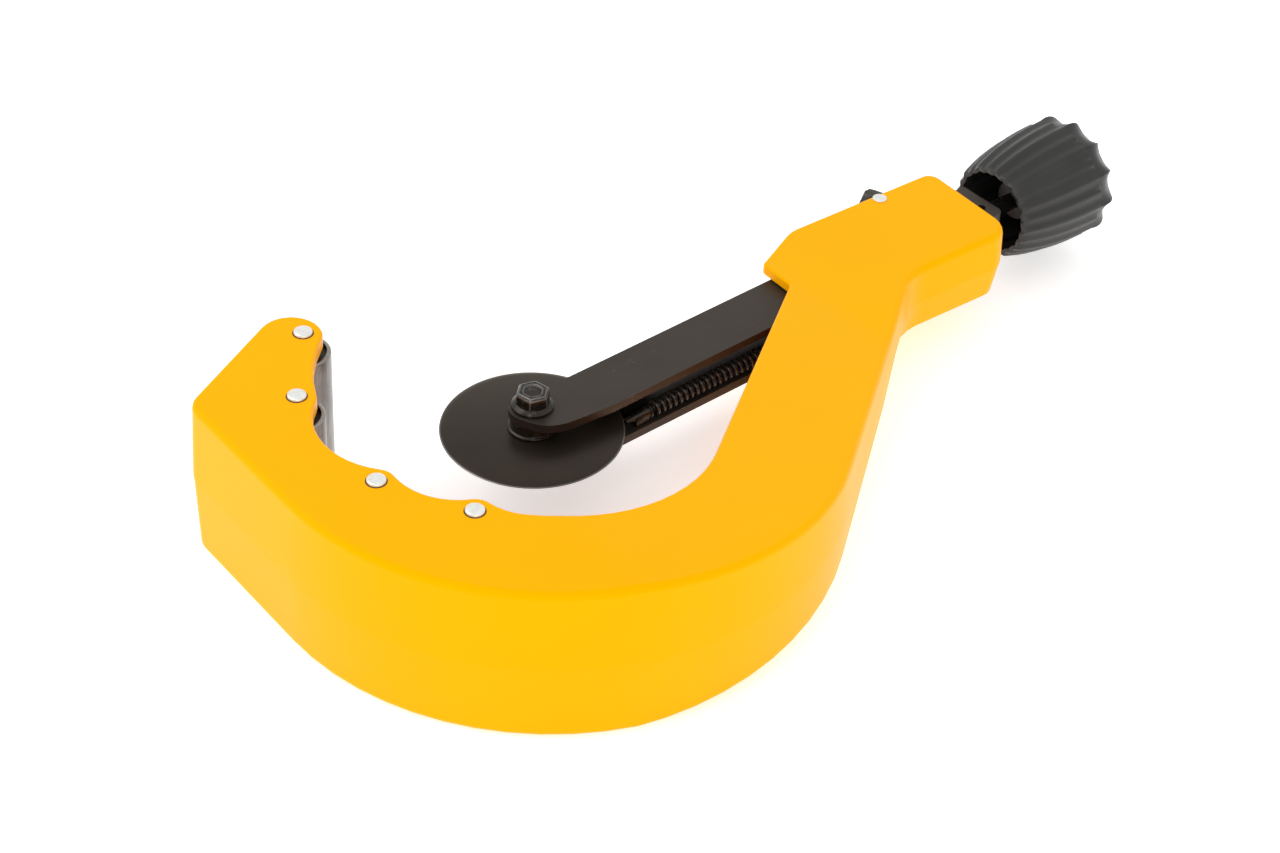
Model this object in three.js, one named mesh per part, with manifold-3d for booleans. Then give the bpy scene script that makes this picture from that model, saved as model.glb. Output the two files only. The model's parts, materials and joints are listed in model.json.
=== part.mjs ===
// Telescopic cutter for plastic pipe: a cast C-shaped frame with four rollers, a steel slide that
// carries the cutting wheel, and a feed screw with a hollow ribbed knob.
// Millimetres, +Z up. The tool lies on its side on the plane z = 0. While modelling, x = 0, y = 0 is
// the centre of the circle that the four roller axles lie on, and +X runs along the slide to the knob.
import * as THREE from 'three';
import { mergeVertices } from 'three/addons/utils/BufferGeometryUtils.js';
import Module from 'manifold-3d';

const wasm = await Module();
wasm.setup();

// ---------------------------------------------------------------- driving dimensions
const GAP = 0.3; // clearance between pieces that touch or run in each other
const DEG = Math.PI / 180;

// Frame casting: heights above and below the middle plane, and wall sizes
const HOOK_HALF_HEIGHT = 32; // half the height of the hook, where the rollers are
const HEAD_HALF_HEIGHT = 15.5; // half the height of the head, where the slide runs
const MID_Z = HOOK_HALF_HEIGHT; // height of the middle plane above the resting plane
const TAPER_START_X = -40; // the height falls evenly between these two places
const TAPER_END_X = 130;
const HOOK_PLATE = 6; // thickness of the two plates at the rollers
const HEAD_PLATE = 4.4; // thickness of the two plates at the head
const OUTER_WALL = 6; // thickness of the wall that joins the plates
const TIP_WALL = 4; // thickness of that wall beside the first roller

// Frame casting: outline seen from above
const HEAD_TURN = -3.2 * DEG; // the casting's sides are turned this far from the slide's axis
const OUTER_CENTRE = [0, -15.8];
const OUTER_RADIUS = 108.5;
const THROAT_CENTRE = [-5, -22];
const THROAT_RADIUS = 60;
const LEG_OUTER_ANGLE = 36 * DEG; // direction of the leg's outer side
const LEG_INNER_ANGLE = 34.4 * DEG; // direction of the leg's inner side
const TIP_OFFSET = [-4.5, 1.6]; // centre of the tip's round end from the first roller axle
const TIP_RADIUS = 11.8;
const TIP_SIDE_ANGLE = 25.4 * DEG; // direction of the slanted side behind the tip
const HEAD_NEAR_Y = -18.6; // near side of the head, in the head's turned axes
const HEAD_FAR_Y = 29.45; // far side of the head, in the head's turned axes
const LEG_BLEND = 24; // round between the leg's outer side and the head's near side
const HEAD_END_X = 221.7; // end face of the head, in the head's turned axes
const NOSE_X = 126; // front of the head's two plates
const NOSE_FAR = [131, 13.5]; // where the nose's slanted corner starts
const NOSE_SHOULDER = [150, 21]; // where the slanted corner meets the far side
const GUIDE_START_X = 143; // the guide walls of the slide start here, behind the wheel's reach

// Rollers
const ROLLER_CIRCLE = 80.5; // radius of the circle of the four axles
const ROLLER_TURN = -5.85 * DEG; // the roller group's axis against the slide's axis
const ROLLER_ANGLES = [-46, -19.7, 19.7, 46]; // degrees either side of that axis
const ROLLER_RADIUS = 9.9;
const AXLE_RADIUS = 3.3;
const ROLLER_BORE = AXLE_RADIUS + GAP;
const AXLE_HEAD_RADIUS = 3.7;
const AXLE_HEAD_HEIGHT = 0.9;
const BOSS_RADIUS = 7; // round of the plates beside each axle
const WASHER_THICKNESS = 1.2;
const WASHER_RADIUS = 6.5;

// Slide
const SLIDE_NEAR_Y = -16.1;
const SLIDE_FAR_Y = 6.5;
const SLIDE_HALF_HEIGHT = 10.75;
const SLIDE_WALL = 3.5;
const SLIDE_STICK_OUT = 9.8; // how far the slide's tail stands out of the head
const SLIDE_END_X = HEAD_END_X + SLIDE_STICK_OUT;
const TRAVEL_OUT = 100; // the slide's travel out of this place, and in
const TRAVEL_IN = 6;

// Cutting wheel and its bolt
const WHEEL_CENTRE = [6.1, 1.2];
const WHEEL_RADIUS = 33.7;
const WHEEL_THICKNESS = 2;
const WHEEL_BEVEL = 5; // width of the ground edge
const EAR_RADIUS = 8.9;
const SPACER_RADIUS = 8.7;
const BUSH_RADIUS = 4.6;
const BOLT_RADIUS = 3; // M6
const NUT_FLANGE_RADIUS = 7.4;
const NUT_CORNER_RADIUS = 5.9;
const NUT_HEIGHT = 6.2;

// Feed screw, its two bearings and the knob
const SCREW_Y = -2.2;
const SCREW_RADIUS = 5;
const JOURNAL_RADIUS = 3;
const SHANK_RADIUS = 3.4;
const BLOCK_LENGTH = 7.5;
const KNOB_GAP = 8.1; // from the slide's tail to the knob's mouth
const KNOB_START_X = SLIDE_END_X + KNOB_GAP;
const KNOB_LENGTH = 50;
const KNOB_MOUTH_RADIUS = 18.7;
const KNOB_WALL = 2.6;
const KNOB_FLUTES = 24;
const KNOB_FLUTE_DEPTH = 0.55;
const KNOB_HUB_RADIUS = 8;

// Release latch
const LATCH_PIVOT = [193.2, 15.8];
const LATCH_PIN_RADIUS = 2.2;
const LATCH_POCKET_FAR_Y = 16.8;
const LATCH_BACK_Y = 10.1; // back of the half nut
const LATCH_HALF_HEIGHT = 9.5;
const LATCH_NUT_X = [166, 182]; // the half nut's length along the screw
const LATCH_REACH_Y = 28.3; // the thumb piece stands out to here
const LATCH_SPRING_RADIUS = 2.6; // small spring behind the half nut, with its axis along Y
const LATCH_SPRING_WIRE = 0.7;
const LATCH_SPRING_X = 173;

// Return spring
const SPRING_Y = -12.9;
const SPRING_Z = MID_Z - 3.6;
const SPRING_RADIUS = 3.2;
const SPRING_WIRE = 0.95;
const SPRING_START_X = 50;
const SPRING_POST_DEPTH = 13.7; // from the head's end face to the rear post
const SPRING_END_X = HEAD_END_X - SPRING_POST_DEPTH;
const POST_RADIUS = 1.5;

// ---------------------------------------------------------------- materials
const material = (color, roughness, metalness) => new THREE.MeshStandardMaterial({ color, roughness, metalness });
const yellowPaint = () => material(0xffbe00, 0.42, 0.0);
const blackOxide = () => material(0x2b2723, 0.45, 0.6);
const rollerSteel = () => material(0x8f8b88, 0.3, 0.9);
const nickelPlate = () => material(0xd9d9d2, 0.28, 0.9);
const blackPlastic = () => material(0x2f2f30, 0.5, 0.0);
const bronze = () => material(0x9a6b3a, 0.45, 0.9);

// ---------------------------------------------------------------- solids
function toSolid(geometry) {
  const plain = geometry.clone();
  for (const name of Object.keys(plain.attributes)) {
    if (name !== 'position') plain.deleteAttribute(name);
  }
  const merged = mergeVertices(plain, 1e-4);
  return new wasm.Manifold(new wasm.Mesh({
    numProp: 3,
    vertProperties: new Float32Array(merged.attributes.position.array),
    triVerts: new Uint32Array(merged.index.array),
  }));
}

function toGeometry(solid) {
  const mesh = solid.getMesh();
  const geometry = new THREE.BufferGeometry();
  geometry.setAttribute('position', new THREE.BufferAttribute(new Float32Array(mesh.vertProperties), 3));
  geometry.setIndex(new THREE.BufferAttribute(new Uint32Array(mesh.triVerts), 1));
  return geometry;
}

/** A plan outline raised from height low to height high. */
function raise(shape, low, high, curveSegments = 12) {
  const geometry = new THREE.ExtrudeGeometry(shape, { depth: high - low, bevelEnabled: false, curveSegments });
  geometry.translate(0, 0, low);
  return toSolid(geometry);
}

/** An outline in x and height, centred on the middle plane, extruded along y. */
function raiseAlongY(shape, low, high) {
  const geometry = new THREE.ExtrudeGeometry(shape, { depth: high - low, bevelEnabled: false });
  geometry.rotateX(Math.PI / 2);
  geometry.translate(0, high, MID_Z);
  return toSolid(geometry);
}

function box(low, high) {
  const size = high.map((value, axis) => value - low[axis]);
  const geometry = new THREE.BoxGeometry(...size);
  geometry.translate(...high.map((value, axis) => (value + low[axis]) / 2));
  return toSolid(geometry);
}

/** A turned piece on a vertical axis at (x, y). The profile holds [radius, height] from bottom to top. */
function turnedZ(profile, [x, y], segments = 24) {
  const points = profile.map(([radius, height]) => new THREE.Vector2(radius, height));
  const geometry = new THREE.LatheGeometry(points, segments);
  geometry.rotateX(Math.PI / 2);
  geometry.translate(x, y, 0);
  return toSolid(geometry);
}

/** A turned piece along X on the axis at (y, z). The profile holds [radius, x] with x rising. */
function turnedX(profile, [y, z], segments = 24) {
  const points = profile.map(([radius, along]) => new THREE.Vector2(radius, along));
  const geometry = new THREE.LatheGeometry(points, segments);
  geometry.rotateX(Math.PI / 2);
  geometry.rotateY(Math.PI / 2);
  geometry.translate(0, y, z);
  return toSolid(geometry);
}

/** A turned piece along Y on the axis at (x, z). The profile holds [radius, y] with y rising. */
function turnedY(profile, [x, z], segments = 24) {
  const points = profile.map(([radius, distance]) => new THREE.Vector2(radius, distance));
  const geometry = new THREE.LatheGeometry(points, segments);
  geometry.translate(x, 0, z);
  return toSolid(geometry);
}

/** A closed ring profile: outer radius, inner radius, two ends. The first point closes it again. */
const ringProfile = (outer, inner, low, high) => [[inner, low], [outer, low], [outer, high], [inner, high], [inner, low]];
const rodProfile = (radius, low, high) => [[0, low], [radius, low], [radius, high], [0, high]];

// ---------------------------------------------------------------- plan geometry helpers
const along = (point, angle, distance) => [
  point[0] + Math.cos(angle) * distance,
  point[1] + Math.sin(angle) * distance,
];
const angleTo = (from, to) => Math.atan2(to[1] - from[1], to[0] - from[0]);

/** Crossing of two lines, each given by a point and a direction angle. */
function crossing(a, angleA, b, angleB) {
  const cross = Math.cos(angleA) * Math.sin(angleB) - Math.sin(angleA) * Math.cos(angleB);
  const t = ((b[0] - a[0]) * Math.sin(angleB) - (b[1] - a[1]) * Math.cos(angleB)) / cross;
  return along(a, angleA, t);
}

/** The point at distance r1 from a and r2 from b that lies to the left of the line from a to b. */
function apex(a, r1, b, r2) {
  const distance = Math.hypot(b[0] - a[0], b[1] - a[1]);
  const base = (distance * distance + r1 * r1 - r2 * r2) / (2 * distance);
  const height = Math.sqrt(r1 * r1 - base * base);
  const direction = angleTo(a, b);
  return along(along(a, direction, base), direction + Math.PI / 2, height);
}

/** Points of an arc from one angle to another, in about six-degree steps. */
function arc(centre, radius, from, to, step = 6 * DEG) {
  const count = Math.max(1, Math.round(Math.abs(to - from) / step));
  const points = [];
  for (let i = 0; i <= count; i += 1) {
    points.push(along(centre, from + ((to - from) * i) / count, radius));
  }
  return points;
}

/** Points of a corner of a polygon, rounded with a radius. */
function rounded(before, corner, after, radius) {
  const back = angleTo(corner, before);
  const ahead = angleTo(corner, after);
  let opening = ahead - back;
  while (opening > Math.PI) opening -= 2 * Math.PI;
  while (opening < -Math.PI) opening += 2 * Math.PI;
  const half = Math.abs(opening) / 2;
  const centre = along(corner, back + opening / 2, radius / Math.sin(half));
  const sweep = (Math.PI - Math.abs(opening)) * Math.sign(opening);
  const start = back + (Math.sign(opening) * -Math.PI) / 2;
  return arc(centre, radius, start, start - sweep, 15 * DEG);
}

/** A closed outline, without points that fall on the one before. */
function shapeOf(points) {
  const kept = points.filter(([x, y], i) => {
    const [px, py] = points[(i + points.length - 1) % points.length];
    return Math.hypot(x - px, y - py) > 0.02;
  });
  return new THREE.Shape(kept.map(([x, y]) => new THREE.Vector2(x, y)));
}

/** A point given in the head's turned axes. */
const inHead = (x, y) => [
  x * Math.cos(HEAD_TURN) - y * Math.sin(HEAD_TURN),
  x * Math.sin(HEAD_TURN) + y * Math.cos(HEAD_TURN),
];

// ---------------------------------------------------------------- shared places
const axles = ROLLER_ANGLES.map((degrees) => along([0, 0], Math.PI + ROLLER_TURN + degrees * DEG, ROLLER_CIRCLE));
const tipCentre = [axles[0][0] + TIP_OFFSET[0], axles[0][1] + TIP_OFFSET[1]];
const tipSideStart = along(tipCentre, TIP_SIDE_ANGLE + Math.PI / 2, TIP_RADIUS);
const leftWallAngle = Math.PI / 2 + HEAD_TURN;
const leftWallPoint = along(OUTER_CENTRE, leftWallAngle + Math.PI / 2, OUTER_RADIUS);
const leftCorner = crossing(leftWallPoint, leftWallAngle, tipSideStart, TIP_SIDE_ANGLE);
const legOuterPoint = along(OUTER_CENTRE, LEG_OUTER_ANGLE - Math.PI / 2, OUTER_RADIUS);
const legInnerPoint = along(THROAT_CENTRE, LEG_INNER_ANGLE - Math.PI / 2, THROAT_RADIUS);
const headNear = inHead(HEAD_END_X, HEAD_NEAR_Y);
const headFar = inHead(HEAD_END_X, HEAD_FAR_Y);
const legHeadCorner = crossing(legOuterPoint, LEG_OUTER_ANGLE, headNear, HEAD_TURN);
const noseCorner = crossing(legInnerPoint, LEG_INNER_ANGLE, [NOSE_X, 0], leftWallAngle);
const shoulder = crossing(NOSE_SHOULDER, angleTo(NOSE_FAR, NOSE_SHOULDER), headFar, HEAD_TURN);

// ---------------------------------------------------------------- frame
/** The hook's inner side: rounds beside the axles, joined by hollows that touch both. */
function hookInnerSide() {
  const hollows = [68, 30.6, 24.5];
  const points = [];
  const centres = hollows.map((radius, i) => apex(axles[i], BOSS_RADIUS + radius, axles[i + 1], BOSS_RADIUS + radius));
  const throatBlend = 22;
  const last = axles[axles.length - 1];
  const blendCentre = apex(THROAT_CENTRE, THROAT_RADIUS - throatBlend, last, BOSS_RADIUS + throatBlend);
  const tipEnd = angleTo(tipCentre, axles[0]);
  points.push(...arc(tipCentre, TIP_RADIUS, TIP_SIDE_ANGLE + Math.PI / 2, tipEnd, 12 * DEG));
  points.push(...arc(axles[0], BOSS_RADIUS, tipEnd, angleTo(axles[0], centres[0]), 12 * DEG).slice(1));
  for (let i = 0; i < centres.length; i += 1) {
    const radius = hollows[i];
    const from = angleTo(centres[i], axles[i]);
    let to = angleTo(centres[i], axles[i + 1]);
    if (to < from) to += 2 * Math.PI;
    points.push(...arc(centres[i], radius, from, to, 8 * DEG).slice(1, -1));
    const bossFrom = angleTo(axles[i + 1], centres[i]);
    const nextCentre = i + 1 < centres.length ? centres[i + 1] : blendCentre;
    let bossTo = angleTo(axles[i + 1], nextCentre);
    if (bossTo > bossFrom) bossTo -= 2 * Math.PI;
    points.push(...arc(axles[i + 1], BOSS_RADIUS, bossFrom, bossTo, 12 * DEG));
  }
  const blendFrom = angleTo(blendCentre, last);
  let blendTo = angleTo(THROAT_CENTRE, blendCentre);
  if (blendTo < blendFrom) blendTo += 2 * Math.PI;
  points.push(...arc(blendCentre, throatBlend, blendFrom, blendTo, 8 * DEG).slice(1));
  const throatFrom = blendTo > LEG_INNER_ANGLE - Math.PI / 2 ? blendTo - 2 * Math.PI : blendTo;
  points.push(...arc(THROAT_CENTRE, THROAT_RADIUS, throatFrom, LEG_INNER_ANGLE - Math.PI / 2).slice(1));
  return points;
}

function frameOutline() {
  const legInnerFar = along(noseCorner, LEG_INNER_ANGLE, -20);
  return [
    ...rounded(leftWallPoint, leftCorner, tipSideStart, 8),
    ...hookInnerSide(),
    ...rounded(legInnerFar, noseCorner, [NOSE_X, 8], 2.5),
    ...rounded(noseCorner, [NOSE_X + 0.4, NOSE_FAR[1] - 2.5], NOSE_FAR, 3),
    ...rounded(NOSE_FAR, shoulder, headFar, 14),
    ...rounded(shoulder, headFar, headNear, 5),
    ...rounded(headFar, headNear, legHeadCorner, 9),
    ...rounded(headNear, legHeadCorner, legOuterPoint, LEG_BLEND),
    ...arc(OUTER_CENTRE, OUTER_RADIUS, LEG_OUTER_ANGLE - Math.PI / 2, leftWallAngle - (3 * Math.PI) / 2),
  ];
}

/** Side view that falls from the hook's half height to the head's. */
function heightBand(hookHalf, headHalf) {
  const reach = 400;
  return raiseAlongY(shapeOf([
    [-reach, -hookHalf], [TAPER_START_X, -hookHalf], [TAPER_END_X, -headHalf], [reach, -headHalf],
    [reach, headHalf], [TAPER_END_X, headHalf], [TAPER_START_X, hookHalf], [-reach, hookHalf],
  ]), -reach, reach);
}

/** The space between the two plates, open towards the pipe. */
function framePocket() {
  const inner = OUTER_RADIUS - OUTER_WALL;
  const leg = along(OUTER_CENTRE, LEG_OUTER_ANGLE - Math.PI / 2, inner);
  const left = along(OUTER_CENTRE, leftWallAngle + Math.PI / 2, inner);
  const tipSide = along(tipCentre, TIP_SIDE_ANGLE + Math.PI / 2, TIP_RADIUS - TIP_WALL);
  const corner = crossing(left, leftWallAngle, tipSide, TIP_SIDE_ANGLE);
  const legTop = crossing(leg, LEG_OUTER_ANGLE, [GUIDE_START_X, 0], Math.PI / 2);
  return shapeOf([
    ...rounded(left, corner, tipSide, 5),
    along(tipSide, TIP_SIDE_ANGLE, 40),
    [GUIDE_START_X, 120],
    [GUIDE_START_X, legTop[1]],
    ...arc(OUTER_CENTRE, inner, LEG_OUTER_ANGLE - Math.PI / 2, leftWallAngle - (3 * Math.PI) / 2),
  ]);
}

function buildFrame() {
  const reach = 2 * HOOK_HALF_HEIGHT;
  let frame = raise(shapeOf(frameOutline()), 0, reach).intersect(heightBand(HOOK_HALF_HEIGHT, HEAD_HALF_HEIGHT));
  const pocketHeights = heightBand(HOOK_HALF_HEIGHT - HOOK_PLATE, HEAD_HALF_HEIGHT - HEAD_PLATE);
  frame = frame.subtract(raise(framePocket(), 0, reach).intersect(pocketHeights));

  // Tunnel that guides the slide through the head
  const guideHalf = SLIDE_HALF_HEIGHT + GAP;
  frame = frame.subtract(box(
    [GUIDE_START_X - 1, SLIDE_NEAR_Y - GAP, MID_Z - guideHalf],
    [HEAD_END_X + 20, SLIDE_FAR_Y + GAP, MID_Z + guideHalf],
  ));
  // Hollow beside the tunnel, with guide ribs left at both ends and in the middle
  for (const [start, end] of [[160, 178], [186, 204]]) {
    frame = frame.subtract(box(
      [start, HEAD_NEAR_Y - 4.5, MID_Z - guideHalf],
      [end, SLIDE_NEAR_Y + 1, MID_Z + guideHalf],
    ));
  }
  // Pocket of the release latch, and the slot that its thumb piece comes out of
  const latchHalf = LATCH_HALF_HEIGHT + GAP;
  frame = frame.subtract(box(
    [LATCH_NUT_X[0] - 1.5, SLIDE_FAR_Y - 1, MID_Z - latchHalf],
    [LATCH_PIVOT[0] + 14, LATCH_POCKET_FAR_Y, MID_Z + latchHalf],
  ));
  frame = frame.subtract(box(
    [LATCH_PIVOT[0] - 6.5, SLIDE_FAR_Y, MID_Z - latchHalf],
    [LATCH_PIVOT[0] + 17, HEAD_FAR_Y + 10, MID_Z + latchHalf],
  ));
  // Holes of the axles and of the latch's pin
  for (const axle of axles) {
    frame = frame.subtract(turnedZ(rodProfile(AXLE_RADIUS + GAP, -5, reach + 5), axle, 20));
  }
  frame = frame.subtract(turnedZ(rodProfile(LATCH_PIN_RADIUS + GAP, 0, reach), LATCH_PIVOT, 16));
  // Blind hole of the return spring's post, in the near guide wall
  frame = frame.subtract(postSolid(POST_RADIUS + GAP, GAP));
  return frame;
}

// ---------------------------------------------------------------- rollers
function rollerSolid(centre) {
  const half = HOOK_HALF_HEIGHT - HOOK_PLATE - WASHER_THICKNESS - 2 * GAP;
  const low = MID_Z - half;
  const high = MID_Z + half;
  const chamfer = 1;
  return turnedZ([
    [ROLLER_BORE, low], [ROLLER_RADIUS - chamfer, low], [ROLLER_RADIUS, low + chamfer],
    [ROLLER_RADIUS, high - chamfer], [ROLLER_RADIUS - chamfer, high], [ROLLER_BORE, high], [ROLLER_BORE, low],
  ], centre, 24);
}

function axleSolid(centre) {
  const top = 2 * HOOK_HALF_HEIGHT;
  const crown = AXLE_HEAD_RADIUS * 0.72;
  return turnedZ([
    [0, 0.6], [AXLE_RADIUS - 0.5, 0.6], [AXLE_RADIUS, 1.1], [AXLE_RADIUS, top + GAP],
    [AXLE_HEAD_RADIUS, top + GAP], [AXLE_HEAD_RADIUS, top + GAP + AXLE_HEAD_HEIGHT * 0.4],
    [crown, top + GAP + AXLE_HEAD_HEIGHT], [0, top + GAP + AXLE_HEAD_HEIGHT],
  ], centre, 20);
}

function washerSolid(centre, low) {
  return turnedZ(ringProfile(WASHER_RADIUS, AXLE_RADIUS + GAP, low, low + WASHER_THICKNESS), centre, 20);
}

// ---------------------------------------------------------------- slide
function slideOutline() {
  const [x, y] = WHEEL_CENTRE;
  const farAngle = Math.PI - Math.asin((SLIDE_FAR_Y - y) / EAR_RADIUS);
  const cheek = along(WHEEL_CENTRE, 215 * DEG, EAR_RADIUS);
  const curve = new THREE.QuadraticBezierCurve(
    new THREE.Vector2(...cheek),
    new THREE.Vector2(x - 4.4, SLIDE_NEAR_Y + 2.6),
    new THREE.Vector2(x + 7, SLIDE_NEAR_Y + 1.6),
  );
  return [
    ...arc(WHEEL_CENTRE, EAR_RADIUS, farAngle, 215 * DEG, 9 * DEG),
    ...curve.getPoints(6).slice(1).map((point) => [point.x, point.y]),
    [x + 24, SLIDE_NEAR_Y],
    ...rounded([x, SLIDE_NEAR_Y], [SLIDE_END_X, SLIDE_NEAR_Y], [SLIDE_END_X, SLIDE_FAR_Y], 3),
    ...rounded([SLIDE_END_X, SLIDE_NEAR_Y], [SLIDE_END_X, SLIDE_FAR_Y], [x, SLIDE_FAR_Y], 1),
  ];
}

const EAR_LENGTH_X = WHEEL_CENTRE[0] + WHEEL_RADIUS + 1.8; // the web starts here, clear of the wheel's rim
const TAIL_HOLE = [SLIDE_END_X - 5, -8.4];
const TAIL_PIN_RADIUS = 1.6;
const latchSlotX = [LATCH_NUT_X[0] - 2 - TRAVEL_OUT, LATCH_NUT_X[1] + 2 + TRAVEL_IN];

function buildSlide() {
  let slide = raise(shapeOf(slideOutline()), MID_Z - SLIDE_HALF_HEIGHT, MID_Z + SLIDE_HALF_HEIGHT);
  const inner = SLIDE_HALF_HEIGHT - SLIDE_WALL;
  // Between the ears, and the channel that is open on the near side
  slide = slide.subtract(box([-40, -40, MID_Z - inner], [EAR_LENGTH_X, 40, MID_Z + inner]));
  slide = slide.subtract(box([-40, -40, MID_Z - inner], [SLIDE_END_X + 5, SLIDE_FAR_Y - SLIDE_WALL, MID_Z + inner]));
  // Slot in the web that lets the half nut reach the screw wherever the slide stands
  slide = slide.subtract(box(
    [latchSlotX[0], SLIDE_FAR_Y - SLIDE_WALL - 1, MID_Z - 5.6],
    [latchSlotX[1], SLIDE_FAR_Y + 1, MID_Z + 5.6],
  ));
  slide = slide.subtract(turnedZ(rodProfile(BOLT_RADIUS + GAP, 0, 2 * MID_Z), WHEEL_CENTRE, 20));
  slide = slide.subtract(turnedZ(rodProfile(TAIL_PIN_RADIUS + GAP, 0, 2 * MID_Z), TAIL_HOLE, 16));
  slide = slide.subtract(blockScrewSolid(GAP));
  return slide;
}

// ---------------------------------------------------------------- wheel and its bolt
const halfWheel = WHEEL_THICKNESS / 2;
const innerHalf = SLIDE_HALF_HEIGHT - SLIDE_WALL;

function wheelSolid() {
  const edge = 0.12;
  return turnedZ([
    [BUSH_RADIUS + GAP, MID_Z - halfWheel], [WHEEL_RADIUS - WHEEL_BEVEL, MID_Z - halfWheel],
    [WHEEL_RADIUS, MID_Z - edge], [WHEEL_RADIUS, MID_Z + edge],
    [WHEEL_RADIUS - WHEEL_BEVEL, MID_Z + halfWheel], [BUSH_RADIUS + GAP, MID_Z + halfWheel],
    [BUSH_RADIUS + GAP, MID_Z - halfWheel],
  ], WHEEL_CENTRE, 64);
}

const bushSolid = () => turnedZ(
  ringProfile(BUSH_RADIUS, BOLT_RADIUS + GAP, MID_Z - innerHalf + GAP, MID_Z + innerHalf - GAP), WHEEL_CENTRE, 24);

const spacerSolid = (low, high) => turnedZ(
  ringProfile(SPACER_RADIUS, BUSH_RADIUS + GAP, low, high), WHEEL_CENTRE, 32);

function hexagon(centre, radius, turn) {
  const points = [];
  for (let i = 0; i < 6; i += 1) points.push(along(centre, turn + i * 60 * DEG, radius));
  return shapeOf(points);
}

function boltSolid() {
  const seat = MID_Z - SLIDE_HALF_HEIGHT - GAP;
  const head = raise(hexagon(WHEEL_CENTRE, NUT_CORNER_RADIUS, 10 * DEG), seat - 4.2, seat);
  const top = MID_Z + SLIDE_HALF_HEIGHT + GAP + NUT_HEIGHT - 0.9;
  return head.add(turnedZ([
    [0, seat - 0.5], [BOLT_RADIUS, seat - 0.5], [BOLT_RADIUS, top - 0.6], [BOLT_RADIUS - 0.6, top], [0, top],
  ], WHEEL_CENTRE, 20));
}

function nutSolid() {
  const seat = MID_Z + SLIDE_HALF_HEIGHT + GAP;
  let nut = raise(hexagon(WHEEL_CENTRE, NUT_CORNER_RADIUS, 12 * DEG), seat + 0.4, seat + NUT_HEIGHT);
  nut = nut.intersect(turnedZ([
    [0, seat], [NUT_CORNER_RADIUS + 1, seat], [NUT_CORNER_RADIUS + 1, seat + NUT_HEIGHT - 1.4],
    [NUT_CORNER_RADIUS - 0.9, seat + NUT_HEIGHT], [0, seat + NUT_HEIGHT],
  ], WHEEL_CENTRE, 24));
  nut = nut.add(turnedZ([
    [0, seat], [NUT_FLANGE_RADIUS, seat], [NUT_FLANGE_RADIUS, seat + 0.9], [NUT_CORNER_RADIUS - 0.6, seat + 2],
    [0, seat + 2],
  ], WHEEL_CENTRE, 32));
  return nut.subtract(turnedZ(rodProfile(BOLT_RADIUS + GAP, 0, 2 * MID_Z), WHEEL_CENTRE, 20));
}

// ---------------------------------------------------------------- feed screw and its bearings
const SCREW_AXIS = [SCREW_Y, MID_Z];
const frontBlockX = [EAR_LENGTH_X + 0.8, EAR_LENGTH_X + 0.8 + BLOCK_LENGTH];
const tailBlockX = [SLIDE_END_X - 11, SLIDE_END_X - 0.4];
const FRONT_SCREW = [(frontBlockX[0] + frontBlockX[1]) / 2, MID_Z - 5];
const blockNearY = SCREW_Y - SCREW_RADIUS - 0.9;

/** The screw turns in both blocks; a collar beside the tail block takes the thrust. */
function screwSolid() {
  const knobHubEnd = KNOB_START_X + KNOB_LENGTH - 6;
  return turnedX([
    [0, frontBlockX[0] + 0.5], [JOURNAL_RADIUS, frontBlockX[0] + 0.5], [JOURNAL_RADIUS, frontBlockX[1] + 0.6],
    [SCREW_RADIUS, frontBlockX[1] + 2.2], [SCREW_RADIUS, tailBlockX[0] - 0.6],
    [SHANK_RADIUS, tailBlockX[0] - 0.6], [SHANK_RADIUS, knobHubEnd], [0, knobHubEnd],
  ], SCREW_AXIS, 24);
}

function bearingBlock([start, end], bore) {
  const inner = innerHalf - GAP;
  const block = box([start, blockNearY, MID_Z - inner], [end, SLIDE_FAR_Y - SLIDE_WALL - GAP, MID_Z + inner]);
  return block.subtract(turnedX(rodProfile(bore, start - 5, end + 5), SCREW_AXIS, 24));
}

const frontBlock = () => bearingBlock(frontBlockX, JOURNAL_RADIUS + GAP).subtract(blockScrewSolid(GAP));

/** The countersunk screw that holds the front block to the slide's web. */
function blockScrewSolid(extra) {
  const face = SLIDE_FAR_Y + (extra > 0 ? 1 : -0.2);
  return turnedY([
    [0, -7 - extra], [1.2 + extra, -7 - extra], [1.2 + extra, SLIDE_FAR_Y - 1.7], [2.4 + extra, SLIDE_FAR_Y - 0.5],
    [2.4 + extra, face], [0, face],
  ], FRONT_SCREW, 16);
}

/** The tail block fills the channel's full width and holds the pin through both flanges. */
function tailBlock() {
  const inner = innerHalf - GAP;
  return box([tailBlockX[0], SLIDE_NEAR_Y + 1, MID_Z - inner],
    [tailBlockX[1], SLIDE_FAR_Y - SLIDE_WALL - GAP, MID_Z + inner])
    .subtract(turnedX(rodProfile(SHANK_RADIUS + GAP, 100, 300), SCREW_AXIS, 24))
    .subtract(turnedZ(rodProfile(TAIL_PIN_RADIUS + GAP, 0, 2 * MID_Z), TAIL_HOLE, 16));
}

const crossPin = (centre, radius, short) => turnedZ(
  rodProfile(radius, MID_Z - SLIDE_HALF_HEIGHT + short, MID_Z + SLIDE_HALF_HEIGHT - short), centre, 16);

function collarSolid() {
  const start = SLIDE_END_X + GAP;
  return turnedX(ringProfile(7.4, SHANK_RADIUS + GAP, start, start + 4), SCREW_AXIS, 24);
}

// ---------------------------------------------------------------- knob
/** Outer radius of the knob at a share of its length, before the flutes. */
const KNOB_PROFILE = [
  [0, 0], [0.5, 0.35], [6, 2.0], [14, 3.9], [24, 5.4], [34, 6.2], [39, 6.3], [42, 6.7], [46, 6.2], [48.8, 4.2],
  [KNOB_LENGTH, 2.2],
];

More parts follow.
